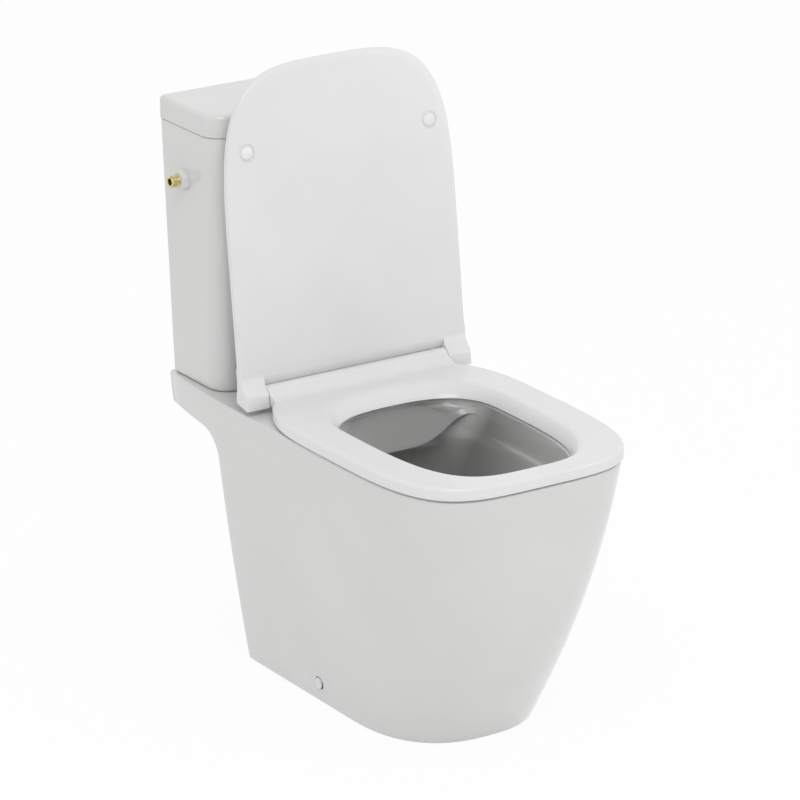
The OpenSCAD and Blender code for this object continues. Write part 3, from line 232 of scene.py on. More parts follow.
def rounded(radius, first, last, count):
    """(drop, inset) pairs down an edge of this radius, between two turns in degrees."""
    turns = [math.radians(mix(first, last, k / (count - 1))) for k in range(count)]
    return [(radius * (1 - math.sin(turn)), radius * (1 - math.cos(turn))) for turn in turns]


def even(points, count):
    """The same open line with count points, spaced evenly along it."""
    run = [0.0]
    for a, b in zip(points, points[1:]):
        run.append(run[-1] + math.dist(a, b))
    spread, k = [], 0
    for i in range(count):
        at = run[-1] * i / (count - 1)
        while k < len(run) - 2 and run[k + 1] < at:
            k += 1
        t = (at - run[k]) / max(run[k + 1] - run[k], 1e-12)
        spread.append(tuple(mix(p, q, t) for p, q in zip(points[k], points[k + 1])))
    return spread


def curve_through(keys, count):
    """Rows of numbers on a smooth curve through the rows of keys, evenly spread between them."""
    rows = []
    for i in range(count):
        at = i / (count - 1) * (len(keys) - 1)
        k = min(int(at), len(keys) - 2)
        t = at - k
        p0, p1, p2, p3 = keys[max(k - 1, 0)], keys[k], keys[k + 1], keys[min(k + 2, len(keys) - 1)]
        rows.append(
            tuple(
                0.5 * (2 * b + (c - a) * t + (2 * a - 5 * b + 4 * c - d) * t * t)
                + 0.5 * (3 * b - a - 3 * c + d) * t**3
                for a, b, c, d in zip(p0, p1, p2, p3)
            )
        )
    return rows


def loft(bm, rings, loop=False):
    """Extrudes the first ring of points through the others, and closes both ends or joins them."""
    start = [bm.verts.new(p) for p in rings[0]]
    verts = start
    edges = [bm.edges.new(pair) for pair in zip(verts, verts[1:] + verts[:1])]
    first = edges
    for ring in rings[1:]:
        grown = bmesh.ops.extrude_edge_only(bm, edges=edges)["geom"]
        new = {v for v in grown if isinstance(v, bmesh.types.BMVert)}
        verts = [next(e.other_vert(v) for e in v.link_edges if e.other_vert(v) in new) for v in verts]
        edges = [e for e in grown if isinstance(e, bmesh.types.BMEdge)]
        for v, p in zip(verts, ring):
            v.co = p
    if loop:
        bmesh.ops.bridge_loops(bm, edges=first + edges)
    else:
        bmesh.ops.holes_fill(bm, edges=first)
        bmesh.ops.holes_fill(bm, edges=edges)
    return start


def finished(bm, name, smooth_angle=38):
    """A new object from bm, with outward normals, smooth but for edges sharper than the angle."""
    bmesh.ops.remove_doubles(bm, verts=bm.verts, dist=1e-6)
    bmesh.ops.recalc_face_normals(bm, faces=bm.faces)
    mesh = bpy.data.meshes.new(name)
    bm.to_mesh(mesh)
    bm.free()
    piece = bpy.data.objects.new(name, mesh)
    bpy.context.scene.collection.objects.link(piece)
    shade(piece, smooth_angle)
    return piece


def lofted(name, rings, loop=False, smooth_angle=38):
    bm = bmesh.new()
    loft(bm, rings, loop)
    return finished(bm, name, smooth_angle)


def shade(piece, smooth_angle=38):
    piece.data.polygons.foreach_set("use_smooth", [True] * len(piece.data.polygons))
    piece.data.set_sharp_from_angle(angle=math.radians(smooth_angle))


def boolean(piece, cutters, operation):
    """Joins the cutters to the piece or cuts them out of it, and removes them."""
    for cutter in cutters:
        step = piece.modifiers.new("step", "BOOLEAN")
        step.object = cutter
        step.operation = operation
        step.solver = "EXACT"
    mesh = bpy.data.meshes.new_from_object(piece.evaluated_get(bpy.context.evaluated_depsgraph_get()))
    piece.modifiers.clear()
    old = piece.data
    piece.data = mesh
    bpy.data.meshes.remove(old)
    for cutter in cutters:
        bpy.data.meshes.remove(cutter.data)
    if not mesh.polygons:
        raise RuntimeError(f"{piece.name} came out empty")
    shade(piece)


def bar(name, a, b, radius, sides=72):
    """A plain round bar from a to b."""
    bm = bmesh.new()
    run = b - a
    bmesh.ops.create_cone(
        bm, cap_ends=True, segments=sides, radius1=radius, radius2=radius, depth=run.length
    )
    turn = Vector((0, 0, 1)).rotation_difference(run).to_matrix().to_4x4()
    bmesh.ops.transform(bm, matrix=Matrix.Translation((a + b) / 2) @ turn, verts=bm.verts)
    return finished(bm, name)


def ball(name, middle, radius):
    bm = bmesh.new()
    bmesh.ops.create_uvsphere(bm, u_segments=72, v_segments=36, radius=radius)
    bmesh.ops.translate(bm, vec=middle, verts=bm.verts)
    return finished(bm, name)


def turned(bm, profile, steps=64):
    """Spins a profile of (radius, height) points once round the Z axis; points on the axis close it."""
    verts = [bm.verts.new((r, 0, h)) for r, h in profile]
    edges = [bm.edges.new(pair) for pair in zip(verts, verts[1:])]
    whole = 2 * math.pi
    bmesh.ops.spin(
        bm, geom=verts + edges, cent=(0, 0, 0), axis=(0, 0, 1), angle=whole, steps=steps, use_merge=True
    )
    bmesh.ops.remove_doubles(bm, verts=bm.verts, dist=1e-6)


def arc(middle, radius, start, end, count):
    """Points (u, v) on an arc round middle, from start to end in degrees."""
    return [
        (
            middle[0] + radius * math.cos(math.radians(mix(start, end, k / (count - 1)))),
            middle[1] + radius * math.sin(math.radians(mix(start, end, k / (count - 1)))),
        )
        for k in range(count)
    ]


def softened(node, name, width, segments=3):
    """A copy of a CAD node with its loose triangles merged and its crisp edges rounded."""
    bm = bmesh.new()
    bm.from_mesh(frame["nodes"][node].data)
    bmesh.ops.remove_doubles(bm, verts=bm.verts, dist=1e-6)
    bmesh.ops.dissolve_limit(
        bm, angle_limit=math.radians(1), verts=bm.verts, edges=bm.edges, delimit={"NORMAL"}
    )
    crisp = [e for e in bm.edges if len(e.link_faces) == 2 and e.calc_face_angle(0) > math.radians(35)]
    bmesh.ops.bevel(
        bm, geom=crisp, offset=width, segments=segments, profile=0.5, affect="EDGES", clamp_overlap=True,
        material=-1,
    )
    return finished(bm, name)


def gather(bm, part):
    """Moves the mesh of part into bm."""
    mesh = bpy.data.meshes.new("part")
    part.to_mesh(mesh)
    part.free()
    bm.from_mesh(mesh)
    bpy.data.meshes.remove(mesh)


def wear(piece, *names):
    """Gives a piece its materials."""
    for name in names:
        piece.data.materials.append(bpy.data.materials[name])


# ---- Pan ----

FRONT_POINTS = 109
SIDE_POINTS = 16
CORNER_POINTS = 6
BACK_POINTS = 9
REAR_POINTS = 2 * SIDE_POINTS + 2 * CORNER_POINTS + BACK_POINTS


def pan_shape(sizes, z):
    """Half width, front distance and squareness of the pan's body at height z."""
    t = z / RIM_Z
    half = mix(sizes.foot_w, PAN_W, (1 + SIDE_BULGE) * t - SIDE_BULGE * t * t) / 2
    front = mix(sizes.foot_d, PAN_D, (1 + FRONT_BULGE) * t - FRONT_BULGE * t * t)
    return half, front, mix(FOOT_SQUARE, RIM_SQUARE, t)


def flare(sizes, d):
    """The pan's share of its full width at a place d in front of the wall."""
    return 1 - (1 - sizes.shelf_w / PAN_W) * max(0.0, 1 - d / FLARE_D) ** 2


def pan_ring(sizes, z, rear_d, inset=0.0, corner=5 * MM):
    """One level of the pan's body, pulled in by inset, with its rear edge rear_d from the wall."""
    half, front, square = pan_shape(sizes, z)
    half -= inset
    reach = front - inset - sizes.belly_d
    curve = half_oval(half, reach, square)
    ring = [(x, out(sizes.belly_d) + y, z) for x, y in even(curve, FRONT_POINTS)]
    along = [(k / SIDE_POINTS) ** 0.9 for k in range(1, SIDE_POINTS + 1)]
    side = [mix(sizes.belly_d, rear_d + corner, t) for t in along]
    ring += [(-half * flare(sizes, d), out(d), z) for d in side]
    inner = half * flare(sizes, rear_d) - corner
    turn = arc((-inner, rear_d + corner), corner, 180, 270, CORNER_POINTS + 1)[1:]
    back = [mix(-inner, inner, (k + 1) / (BACK_POINTS + 1)) for k in range(BACK_POINTS)]
    ring += [(u, out(v), z) for u, v in turn]
    ring += [(x, out(rear_d), z) for x in back]
    ring += [(-u, out(v), z) for u, v in reversed(turn)]
    ring += [(half * flare(sizes, d), out(d), z) for d in reversed(side)]
    return ring


def bowl_ring(belly_d, z, rear_d, front_d, half, square=BOWL_SQUARE, rear_square=BOWL_SQUARE):
    """One level of the bowl, as (x, distance from the wall, z)."""
    ahead = half_oval(half, front_d - belly_d, square)
    behind = half_oval(half, rear_d - belly_d, rear_square, 180)
    ring = even(ahead, FRONT_POINTS) + even(behind, REAR_POINTS + 2)[1:-1]
    return [(x, belly_d - y, z) for x, y in ring]


def bowl_profile(belly_d, bowl):
    """Depth, rear, front and width share of the bowl, without its water guide."""
    # Depth in mm near the rim and as a share of the drop below it, then how far the rear and the
    # front have come in from the belly, 1 at the mouth, and the share of the mouth's width.
    near = (
        (0, 1, 1, 1), (0.5, 0.985, 0.9935, 0.990), (2, 0.968, 0.989, 0.980), (5, 0.955, 0.985, 0.973),
        (14, 0.935, 0.976, 0.960), (26, 0.905, 0.965, 0.945), (38, 0.870, 0.952, 0.925),
        (46, 0.840, 0.940, 0.893), (66, 0.820, 0.898, 0.865),
    )
    deep = (
        (0.25, 0.800, 0.845, 0.830), (0.38, 0.765, 0.700, 0.740), (0.53, 0.690, 0.500, 0.610),
        (0.75, 0.560, 0.280, 0.450), (0.92, 0.440, 0.130, 0.350), (1, 0.320, 0.050, 0.230),
    )
    front_d = PAN_D - bowl.rim_front
    rows = [(depth * MM, *rest) for depth, *rest in near]
    rows += [(bowl.drop * depth, *rest) for depth, *rest in deep]
    return [
        (depth, mix(belly_d, bowl.rear_d, rear), mix(belly_d, front_d, front), share)
        for depth, rear, front, share in rows
    ]


# Stations down the guide's middle: how far down the plain wall, how far out and how far down
# the guide has come there, all in mm, for a front edge that hangs 44 mm below the rim.
GUIDE_STATIONS = (
    (2, 0, 2), (5, 0.5, 5), (12, 5, 12), (20, 13, 21), (28, 21, 31), (33, 26, 37.5),
    (36, 28.6, 41), (38, 29.6, 43), (39.5, 29.4, 44.2), (41, 28, 44.8), (42.5, 24, 44.4),
    (44, 16, 43.2), (46, 7, 42.4), (48.5, 0, 43.5), (51, -4, 48), (55, -3.2, 56), (62, 0, 62),
)


def guide_fold(bowl, depth, x):
    """How far out of the plain wall the guide stands, and its depth, beside the middle by x."""
    mm = depth / MM
    hang = mix(bowl.guide_drop, bowl.guide_end, ease(abs(x), 20 * MM, 114 * MM))
    fold = hang / (44 * MM)
    for a, b in zip(GUIDE_STATIONS, GUIDE_STATIONS[1:]):
        if a[0] <= mm <= b[0]:
            t = (mm - a[0]) / (b[0] - a[0])
            reach = mix(a[1], b[1], t) / 29.6 * bowl.guide_out
            down = mix(a[2], b[2], t) * mix(1, fold, ease(mm, 2, 30))
            return reach, mix(down * MM, depth, ease(mm, 48, 62))
    return 0.0, depth


def bowl_rings(belly_d, bowl, half):
    """The inside of the bowl from its mouth down, with the water guide folded in at the rear."""
    rows = [(max(row[0], 0.0), *row[1:]) for row in curve_through(bowl_profile(belly_d, bowl), 181)]
    depths = [row[0] for row in rows]
    plain = [bowl_ring(belly_d, 0, rear_d, front_d, half * share) for _, rear_d, front_d, share in rows]
    rings = []
    for (depth, rear_d, _, _), level in zip(rows, plain):
        ring = []
        for i, (x, d, _) in enumerate(level):
            reach, fold = guide_fold(bowl, depth, x)
            # The guide spans the rear and dies into the side walls, where a crease carries on.
            behind = (belly_d - d) / (belly_d - rear_d)
            real = mix(depth, fold, ease(behind, 0.10, 0.60))
            k = min(max(bisect.bisect(depths, real) - 1, 0), len(rows) - 2)
            t = min(max((real - depths[k]) / max(depths[k + 1] - depths[k], 1e-9), 0.0), 1.0)
            wall_x, wall_d = (mix(plain[k][i][axis], plain[k + 1][i][axis], t) for axis in (0, 1))
            aside = ease(abs(x) / half, 0.5, 0.9)
            crease = math.exp(-(((real / MM - 45) / 5) ** 2)) * ease(d, 440 * MM, 330 * MM) * aside
            inward = reach * ease(behind, 0.30, 0.86) * ease(abs(x), 120 * MM, 56 * MM)
            ring.append((wall_x + math.copysign(3.2 * MM * crease, x), out(wall_d + inward), RIM_Z - real))
        rings.append(ring)
    return rings


class TOILET_OT_pan(bpy.types.Operator):
    """Builds the glazed pan with its bowl, skirt, shelf, trap and outlet"""

    bl_idname = "toilet.pan"
    bl_label = "Pan"

    def execute(self, context):
        sizes, bowl = context.scene.toilet_pan, context.scene.toilet_bowl
        half = PAN_W / 2 - bowl.rim_side
        belly_d = sizes.belly_d
        inside = bowl_rings(belly_d, bowl, half)
        rings = list(reversed(inside))
        # The rim's rounded outer edge, and down the outside to the floor.
        edge_r, skirt_d = sizes.edge_r, sizes.skirt_d
        rings += [pan_ring(sizes, RIM_Z - drop, inset, inset) for drop, inset in rounded(edge_r, 90, 0, 6)]
        shelf_under = RIM_Z - sizes.shelf_t
        fall = 6 * MM
        flat_end = skirt_d - sizes.fillet
        skirt_top = shelf_under - fall - sizes.fillet
        rings += [pan_ring(sizes, mix(RIM_Z - edge_r, shelf_under + 3 * MM, k / 5), 0) for k in range(1, 6)]
        rings += [pan_ring(sizes, shelf_under + 1 * MM, 0.6 * MM), pan_ring(sizes, shelf_under, 3 * MM)]
        rings += [
            pan_ring(sizes, shelf_under - fall * k / 6, mix(3 * MM, flat_end, k / 6)) for k in range(1, 6)
        ]
        rings += [pan_ring(sizes, v, u) for u, v in arc((flat_end, skirt_top), sizes.fillet, 90, 0, 14)]
        rings += [pan_ring(sizes, mix(skirt_top, 2 * MM, k / 24), skirt_d) for k in range(1, 25)]
        rings += [pan_ring(sizes, 0.6 * MM, skirt_d + 0.5 * MM, 0.5 * MM)]
        rings += [pan_ring(sizes, 0, skirt_d + 1.6 * MM, 1.6 * MM)]
        # The inside of the skirt, the deck's underside and the bowl's outside.
        under_z = RIM_Z - sizes.deck_t
        inner_d = skirt_d + sizes.skirt_t
        rings += [pan_ring(sizes, mix(0, under_z, k / 10), inner_d, sizes.skirt_t) for k in range(11)]
        rows = bowl_profile(belly_d, bowl)[8:]
        walls = [(row, 0, bowl.wall) for row in rows[:-1]] + [(rows[-1], bowl.wall, bowl.wall / 2)]
        for (depth, rear_d, front_d, share), lower, wall in walls:
            z, beside = RIM_Z - depth - lower, half * share + wall
            ring = bowl_ring(belly_d, z, rear_d - wall, front_d + wall, beside)
            rings.append([(x, out(d), z) for x, d, z in ring])
        pan = lofted("glazed_pan", rings)

        # The way into the skirt from behind, cut before the outlet is joined on.
        slack, bend_r = sizes.skirt_t + 2 * MM, 46 * MM
        top_z = skirt_top - 4 * MM
        bend_z = top_z - 60 * MM
        wide = pan_shape(sizes, bend_z)[0] - slack
        outline = [(pan_shape(sizes, 0)[0] - slack, -2 * MM), (wide, bend_z)]
        outline += arc((wide - bend_r, top_z - bend_r), bend_r, 0, 90, 10)[1:]
        outline += [(-x, z) for x, z in reversed(outline)]
        ends = [out(skirt_d) + s * 2 * sizes.skirt_t for s in (-1, 1)]
        boolean(pan, [lofted("skirt_back", [[(x, y, z) for x, z in outline] for y in ends])], "DIFFERENCE")
        # The trap behind the bowl and the outlet spigot, solid first and then bored.
        weir = Vector((0, out(232 * MM), bowl.outlet_z))
        end = Vector((0, out(74 * MM), bowl.outlet_z))
        sump = Vector((0, out(belly_d - 20 * MM), RIM_Z - bowl.drop + bowl.trap_bore / 2))
        outlet_r, outlet_wall = bowl.outlet_od / 2, 9 * MM
        outside = [
            bar("spigot", end, weir, outlet_r),
            ball("bend", weir, outlet_r + 2 * MM),
            bar("trap", weir, mix(sump, weir, 0.30), bowl.trap_bore / 2 + bowl.wall),
        ]
        boolean(pan, outside, "UNION")
        beyond = end + (end - weir).normalized() * 2 * MM
        inside = [
            bar("spigot_bore", beyond, weir, outlet_r - outlet_wall),
            ball("bend_bore", weir, outlet_r - outlet_wall),
            bar("trap_bore", weir, sump, bowl.trap_bore / 2),
        ]
        # A shallow pocket behind each side cap.
        for s in (-1, 1):
            face = Vector((s * (CAPS_HIGH.x + 20 * MM), CAPS_Y, CAPS_Z))
            floor = Vector((s * (pan_shape(sizes, CAPS_Z)[0] - 3 * MM), CAPS_Y, CAPS_Z))
            inside.append(bar("pocket", floor, face, CAPS_R + 0.8 * MM))
        boolean(pan, inside, "DIFFERENCE")
        wear(pan, "Glazed vitreous china")
        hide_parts("pan_rim", "pan_skirt", "pan_bowl", "pan_trapway")
        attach(pan, "pan")
        return {"FINISHED"}


# ---- Cistern ----


def tank_ring(half, rear_d, front_d, inset, z):
    """A rounded rectangle pulled in by inset, with points along its sides and round its corners."""
    sizes = bpy.context.scene.toilet_cistern
    rear_r, front_r = max(sizes.rear_r - inset, 2 * MM), max(sizes.front_r - inset, 4 * MM)
    half, rear_d, front_d = half - inset, rear_d + inset, front_d - inset
    corners = [
        ((half - front_r, front_d - front_r), front_r, 0),
        ((front_r - half, front_d - front_r), front_r, 90),
        ((rear_r - half, rear_d + rear_r), rear_r, 180),
        ((half - rear_r, rear_d + rear_r), rear_r, 270),
    ]
    turns = [arc(middle, radius, start, start + 90, 13) for middle, radius, start in corners]
    line = []
    for turn, after in zip(turns, turns[1:] + turns[:1]):
        line += turn
        line += [tuple(mix(a, b, j / 12) for a, b in zip(turn[-1], after[0])) for j in range(1, 12)]
    return [(x, out(d), z) for x, d in line]


def cistern_ring(sizes, z, inset=0.0):
    t = (z - TANK_LOW.z) / (TANK_HIGH.z - TANK_LOW.z)
    half = mix(sizes.foot_w, sizes.top_w, t) / 2
    return tank_ring(half, sizes.gap, mix(sizes.foot_d, sizes.top_d, t), inset, z)


def cover_ring(z, inset):
    return tank_ring(COVER_HIGH.x, WALL_Y - COVER_HIGH.y, WALL_Y - COVER_LOW.y, inset, z)


class TOILET_OT_cistern(bpy.types.Operator):
    """Builds the cistern's tapering glazed tank and its lid"""

    bl_idname = "toilet.cistern"
    bl_label = "Cistern"

    def execute(self, context):
        sizes = context.scene.toilet_cistern
        wall, foot_z, top = sizes.wall, TANK_LOW.z, TANK_HIGH.z
        floor_z = foot_z + 18 * MM
        # Up the inside from the floor, over the open top and down the outside, as (z, inset).
        levels = [(floor_z + 4 * MM, wall + 22 * MM)]
        levels += [
            (floor_z + (12 - v / MM) * MM, u) for u, v in arc((wall + 8 * MM, 0), 8 * MM, 90, 180, 6)
        ]
        levels += [(top - 1 * MM, wall), (top, wall - 1 * MM), (top, 1.5 * MM), (top - 0.5 * MM, 0.4 * MM)]
        levels += [(mix(top - 1.5 * MM, foot_z + 6 * MM, k / 12), 0) for k in range(13)]
        levels += [(foot_z + drop, inset) for drop, inset in rounded(6 * MM, 18, 90, 5)]
        levels += [(foot_z, 16 * MM), (foot_z + 8 * MM, 17 * MM)]
        tank = lofted("glazed_cistern", [cistern_ring(sizes, z, inset) for z, inset in levels])
        middle, aside = Vector((NUT_HIGH.x, NUT_Y, NUT_Z)), Vector((1 * MM, 0, 0))
        boolean(tank, [bar("boss", middle, middle + 12 * aside, INLET_BOSS)], "UNION")
        boolean(tank, [bar("hole", middle - 5 * aside, middle + 30 * aside, INLET_HOLE)], "DIFFERENCE")
        wear(tank, "Glazed vitreous china")
        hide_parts("cistern_tank")
        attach(tank, "pan")

        # The lid: its crowned top, rounded edge, overhang and locating lip, round the button's hole.
        top = COVER_HIGH.z
        low = TANK_HIGH.z + 0.6 * MM
        lip = wall + 2.5 * MM
        hole = []
        for x, y, _ in cover_ring(top, 0):
            run = Vector((x, y - WORKS_Y)).normalized() * sizes.cover_hole / 2
            hole.append((run.x, WORKS_Y + run.y))
        rings = [[(x, y, top - down * MM) for x, y in hole] for down in (10, 1, 0)]
        levels = [(top, sizes.cover_r + 6 * MM)]
        levels += [(top - drop, inset) for drop, inset in rounded(sizes.cover_r, 90, 0, 9)]
        levels += [(low + 2 * MM, 0), (low + 0.6 * MM, 0.4 * MM), (low, 1.4 * MM), (low, lip)]
        levels += [(low - 7 * MM, lip), (low - 7 * MM, lip + 5 * MM), (top - 10 * MM, lip + 5 * MM)]
        rings += [cover_ring(z, inset) for z, inset in levels]
        lid = lofted("glazed_cistern_lid", rings, True)
        wear(lid, "Glazed vitreous china")
        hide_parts("cistern_lid")
        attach(lid, "pan")
        return {"FINISHED"}


# ---- Seat ----


def seat_outer(pan, z, inset):
    belly_d = pan.belly_d
    ahead = half_oval(SEAT_HALF - inset, SEAT_D - inset - belly_d, RIM_SQUARE)
    rear = belly_d - HINGE_D + 19.5 * MM
    limit = HINGE_D + 14 * MM
    behind = half_oval(SEAT_HALF - inset, inset - rear, SEAT_REAR_SQUARE, 180)
    behind = [(x, min(y, belly_d - limit - inset)) for x, y in behind]
    ring = even(ahead, FRONT_POINTS) + even(behind, REAR_POINTS + 2)[1:-1]
    return [(x, out(belly_d - y), z) for x, y in ring]


def seat_inner(pan, seat, z, inset):
    half = SEAT_HALF - seat.side
    rear_d, front_d = seat.open_d + 2 * inset, SEAT_D - seat.front - inset
    ring = bowl_ring(pan.belly_d, z, rear_d, front_d, half - inset, OPENING_SQUARE, OPENING_REAR_SQUARE)
    return [(x, out(d), z) for x, d, z in ring]


def round_hinge(points):
    """Points given in mm from the hinge's axis, as (y, z)."""
    return [(HINGE.y + u * MM, HINGE.z + v * MM) for u, v in points]


def along_x(bm, x0, x1, profile, round_ends=0.0):
    """A solid with a closed (y, z) profile from x0 to x1, its ends drawn in to a rounded edge."""
    middle = [sum(p[k] for p in profile) / len(profile) for k in (0, 1)]
    stations = [(x0, 0.0)]
    if round_ends:
        stations = [(x0 + along, pull) for along, pull in reversed(rounded(round_ends, 0, 90, 6))]
    stations += [(x0 + x1 - x, pull) for x, pull in reversed(stations)]
    rings = []
    for x, pull in stations:
        ring = []
        for y, z in profile:
            away = Vector((y - middle[0], z - middle[1]))
            away = away * max(1 - pull / away.length, 0.1)
            ring.append((x, middle[0] + away.x, middle[1] + away.y))
        rings.append(ring)
    loft(bm, rings)


class TOILET_OT_seat_ring(bpy.types.Operator):
    """Builds the seat ring with its hinge barrel"""

    bl_idname = "toilet.seat_ring"
    bl_label = "Seat ring"

    def execute(self, context):
        pan, seat = context.scene.toilet_pan, context.scene.toilet_seat
        top = SEAT_Z + seat.thickness
        low, slope = SEAT_Z, seat.slope
        # Up the inside, where the edge slopes, over the top and down the outside.
        inner = [
            (low, slope - 1 * MM), (low + 0.6 * MM, slope), (low + 3 * MM, slope * 0.93),
            (low + 7 * MM, slope * 0.72), (low + 11 * MM, slope * 0.46), (top - 3.4 * MM, slope * 0.20),
            (top - 1.6 * MM, 0), (top - 0.6 * MM, -2.4 * MM), (top - 0.1 * MM, -5 * MM), (top, -8 * MM),
        ]
        outer = [(top, 10 * MM)]
        outer += [(top - drop, inset) for drop, inset in rounded(5 * MM, 90, 0, 8)]
        outer += [(low + 6 * MM, 0), (low + 3 * MM, 0)]
        outer += [(low + drop, inset) for drop, inset in rounded(2 * MM, 22.5, 90, 4)]
        outer += [(low, 12 * MM)]
        bm = bmesh.new()
        rings = [seat_inner(pan, seat, z, inset) for z, inset in inner]
        loft(bm, rings + [seat_outer(pan, z, inset) for z, inset in outer], loop=True)
        ring = finished(bm, "seat_ring_moulding")

        # The barrel behind it, with the ramp that leads up to it.
        r, y0, z0 = seat.barrel_r, HINGE.y, HINGE.z
        ramp = [(y0 - 31 * MM, low + 1.5 * MM), (y0 - 31 * MM, top - 0.3 * MM)]
        rise = (
            (-29, -3.6), (-27, -3.35), (-25, -2.85), (-23, -2.15), (-21, -1.3), (-19, -0.35), (-17, 0.7),
            (-15, 1.95), (-13.4, 3.15),
        )
        ramp += round_hinge(rise)
        ramp += arc((y0, z0), r, 154, -90, 44)
        ramp += [(y0 - 8 * MM, z0 - r + 1 * MM)]
        bm = bmesh.new()
        along_x(bm, -seat.barrel_l / 2, seat.barrel_l / 2, ramp, 2 * MM)
        barrel = finished(bm, "seat_barrel")
        cutters = []
        for s in (-1, 1):
            ends = [s * NECK_X + k * NECK_W / 2 for k in (-1, 1)]
            bm = bmesh.new()
            fan = [(y0, z0)] + arc((y0, z0), 60 * MM, -142, 55, 12)
            loft(bm, [[(x, y, z) for y, z in fan] for x in ends])
            cutters.append(finished(bm, "neck_room"))
            cutters.append(bar("block_room", *(Vector((x, y0, z0)) for x in ends), r - 2.2 * MM))
        boolean(barrel, cutters, "DIFFERENCE")
        bm = bmesh.new()
        bm.from_mesh(ring.data)
        bm.from_mesh(barrel.data)
        bpy.data.meshes.remove(barrel.data)
        bm.to_mesh(ring.data)
        bm.free()
        shade(ring)
        wear(ring, "Moulded urea seat")
        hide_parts("seat_ring")
        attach(ring, "seat")
        return {"FINISHED"}


def lid_ring(pan, seat, z, inset):
    """One level of the closed lid at height z above the hinge's axis."""
    belly_d = pan.belly_d
    rear, radius = HINGE_D + 24 * MM + inset, 3 * MM
    half = SEAT_HALF - inset
    ahead = half_oval(half, HINGE_D + seat.lid_reach - inset - belly_d, LID_SQUARE)
    line = even([(x, belly_d - y) for x, y in ahead], FRONT_POINTS)
    line += [(-half, mix(belly_d, rear + radius, k / SIDE_POINTS)) for k in range(1, SIDE_POINTS + 1)]
    line += arc((radius - half, rear + radius), radius, 180, 270, CORNER_POINTS + 1)[1:]
    back = [mix(radius - half, half - radius, (k + 1) / (BACK_POINTS + 1)) for k in range(BACK_POINTS)]
    line += [(x, rear) for x in back]
    line += arc((half - radius, rear + radius), radius, 270, 360, CORNER_POINTS + 1)[:-1]
    line += [(half, mix(rear + radius, belly_d, k / SIDE_POINTS)) for k in range(0, SIDE_POINTS)]
    return [(x, out(d), HINGE.z + z) for x, d in line]


class TOILET_OT_seat_lid(bpy.types.Operator):
    """Builds the lid, closed, with its two hinge knuckles, and turns it open"""

    bl_idname = "toilet.seat_lid"
    bl_label = "Seat lid"

    def execute(self, context):
        pan, seat = context.scene.toilet_pan, context.scene.toilet_seat
        under = -1 * MM
        edge = under + seat.lid_t
        # Down from the crown's middle, round the edge and in along the underside, as (z, inset).
        crown = ((1, 130), (0.92, 100), (0.74, 70), (0.5, 45), (0.22, 22), (0.08, 10))
        levels = [(edge + seat.lid_crown * f, i * MM) for f, i in crown]
        levels += [(edge - drop, inset) for drop, inset in rounded(4 * MM, 90, 0, 7)]
        levels += [(under + drop, inset) for drop, inset in rounded(2.4 * MM, 0, 90, 6)]
        levels += [(under, 12 * MM), (under, 130 * MM)]
        lid = lofted("lid_panel", [lid_ring(pan, seat, z, inset) for z, inset in levels])

        r = seat.barrel_r
        knuckle_x = seat.barrel_l / 2 + 0.6 * MM
        # Each knuckle runs on from the lid's edge, round the barrel, to a crisp lower corner.
        shape = [(-40, -0.5), (-26, -1.0), (-20, -1.6), (-15.5, -3.4), (-12.4, -6.0)]
        shape += [(u / MM, v / MM) for u, v in arc((0, 0), r, 216, 270, 12)]
        shape += [(15.6, -12.0), (16.5, -11.7), (16.6, -10.9), (9.6, 11.6), (8.6, 13.6), (7.0, 14.8)]
        shape += [(5.0, 15.1), (0, 14.6), (-6, 13.2), (-12, 11.6), (-20, 10.3), (-40, 9.5)]
        shape = round_hinge(shape)
        knuckles = []
        for s in (-1, 1):
            bm = bmesh.new()
            along_x(bm, *sorted((s * knuckle_x, s * SEAT_HALF)), shape, 1.6 * MM)
            knuckles.append(finished(bm, "knuckle"))
        # The thin lip that reaches back between them, over the barrel's ramp.
        lip = [(-40, -0.6), (-26, -1.0), (-23, -0.6), (-18, 2.0), (-14.4, 4.3), (-12.2, 5.4), (-11.3, 5.9)]
        lip += [(u / MM, v / MM) for u, v in arc((0, 0), r + 0.6 * MM, 150, 132, 6)]
        lip += [(-8.9, 9.9), (-10.5, 10.2), (-24, 10.0), (-40, 9.6)]
        bm = bmesh.new()
        along_x(bm, -knuckle_x - 1 * MM, knuckle_x + 1 * MM, round_hinge(lip))
        knuckles.append(finished(bm, "lip"))
        boolean(lid, knuckles, "UNION")
        # Shallow ring-shaped recesses round the two buffers.
        pad_x, pad_y = SEAT_HALF - PAD_INSET, out(HINGE_D + PAD_D)
        buffers = [Vector((s * pad_x, pad_y, HINGE.z + under)) for s in (-1, 1)]
        up = Vector((0, 0, 1 * MM))
        wells = [bar("well", p - 2 * up, p + 1.2 * up, PAD_WELL_R) for p in buffers]
        boolean(lid, wells, "DIFFERENCE")
        opened = Matrix.Translation(HINGE) @ Matrix.Rotation(-LID_TURN, 4, "X") @ Matrix.Translation(-HINGE)
        lid.data.transform(opened)
        lid.name = "seat_lid_moulding"
        wear(lid, "Moulded urea seat")
        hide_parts("seat_lid", "lid_rear_lip")
        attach(lid, "lid")

        bm = bmesh.new()
        dome = [(0, -2.1), (4, -2.0), (7, -1.6), (8.6, -0.8), (9.0, 0), (9.0, 2.5), (0, 2.5)]
        for p in buffers:
            pad = bmesh.new()
            turned(pad, [(u * MM, v * MM) for u, v in dome], 48)
            bmesh.ops.translate(pad, vec=p, verts=pad.verts)
            gather(bm, pad)
        bmesh.ops.transform(bm, matrix=opened, verts=bm.verts)
        pads = finished(bm, "lid_buffer_pads")
        wear(pads, "Soft buffer rubber")
        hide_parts("lid_buffers")
        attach(pads, "lid")
        return {"FINISHED"}


# ---- Fittings ----


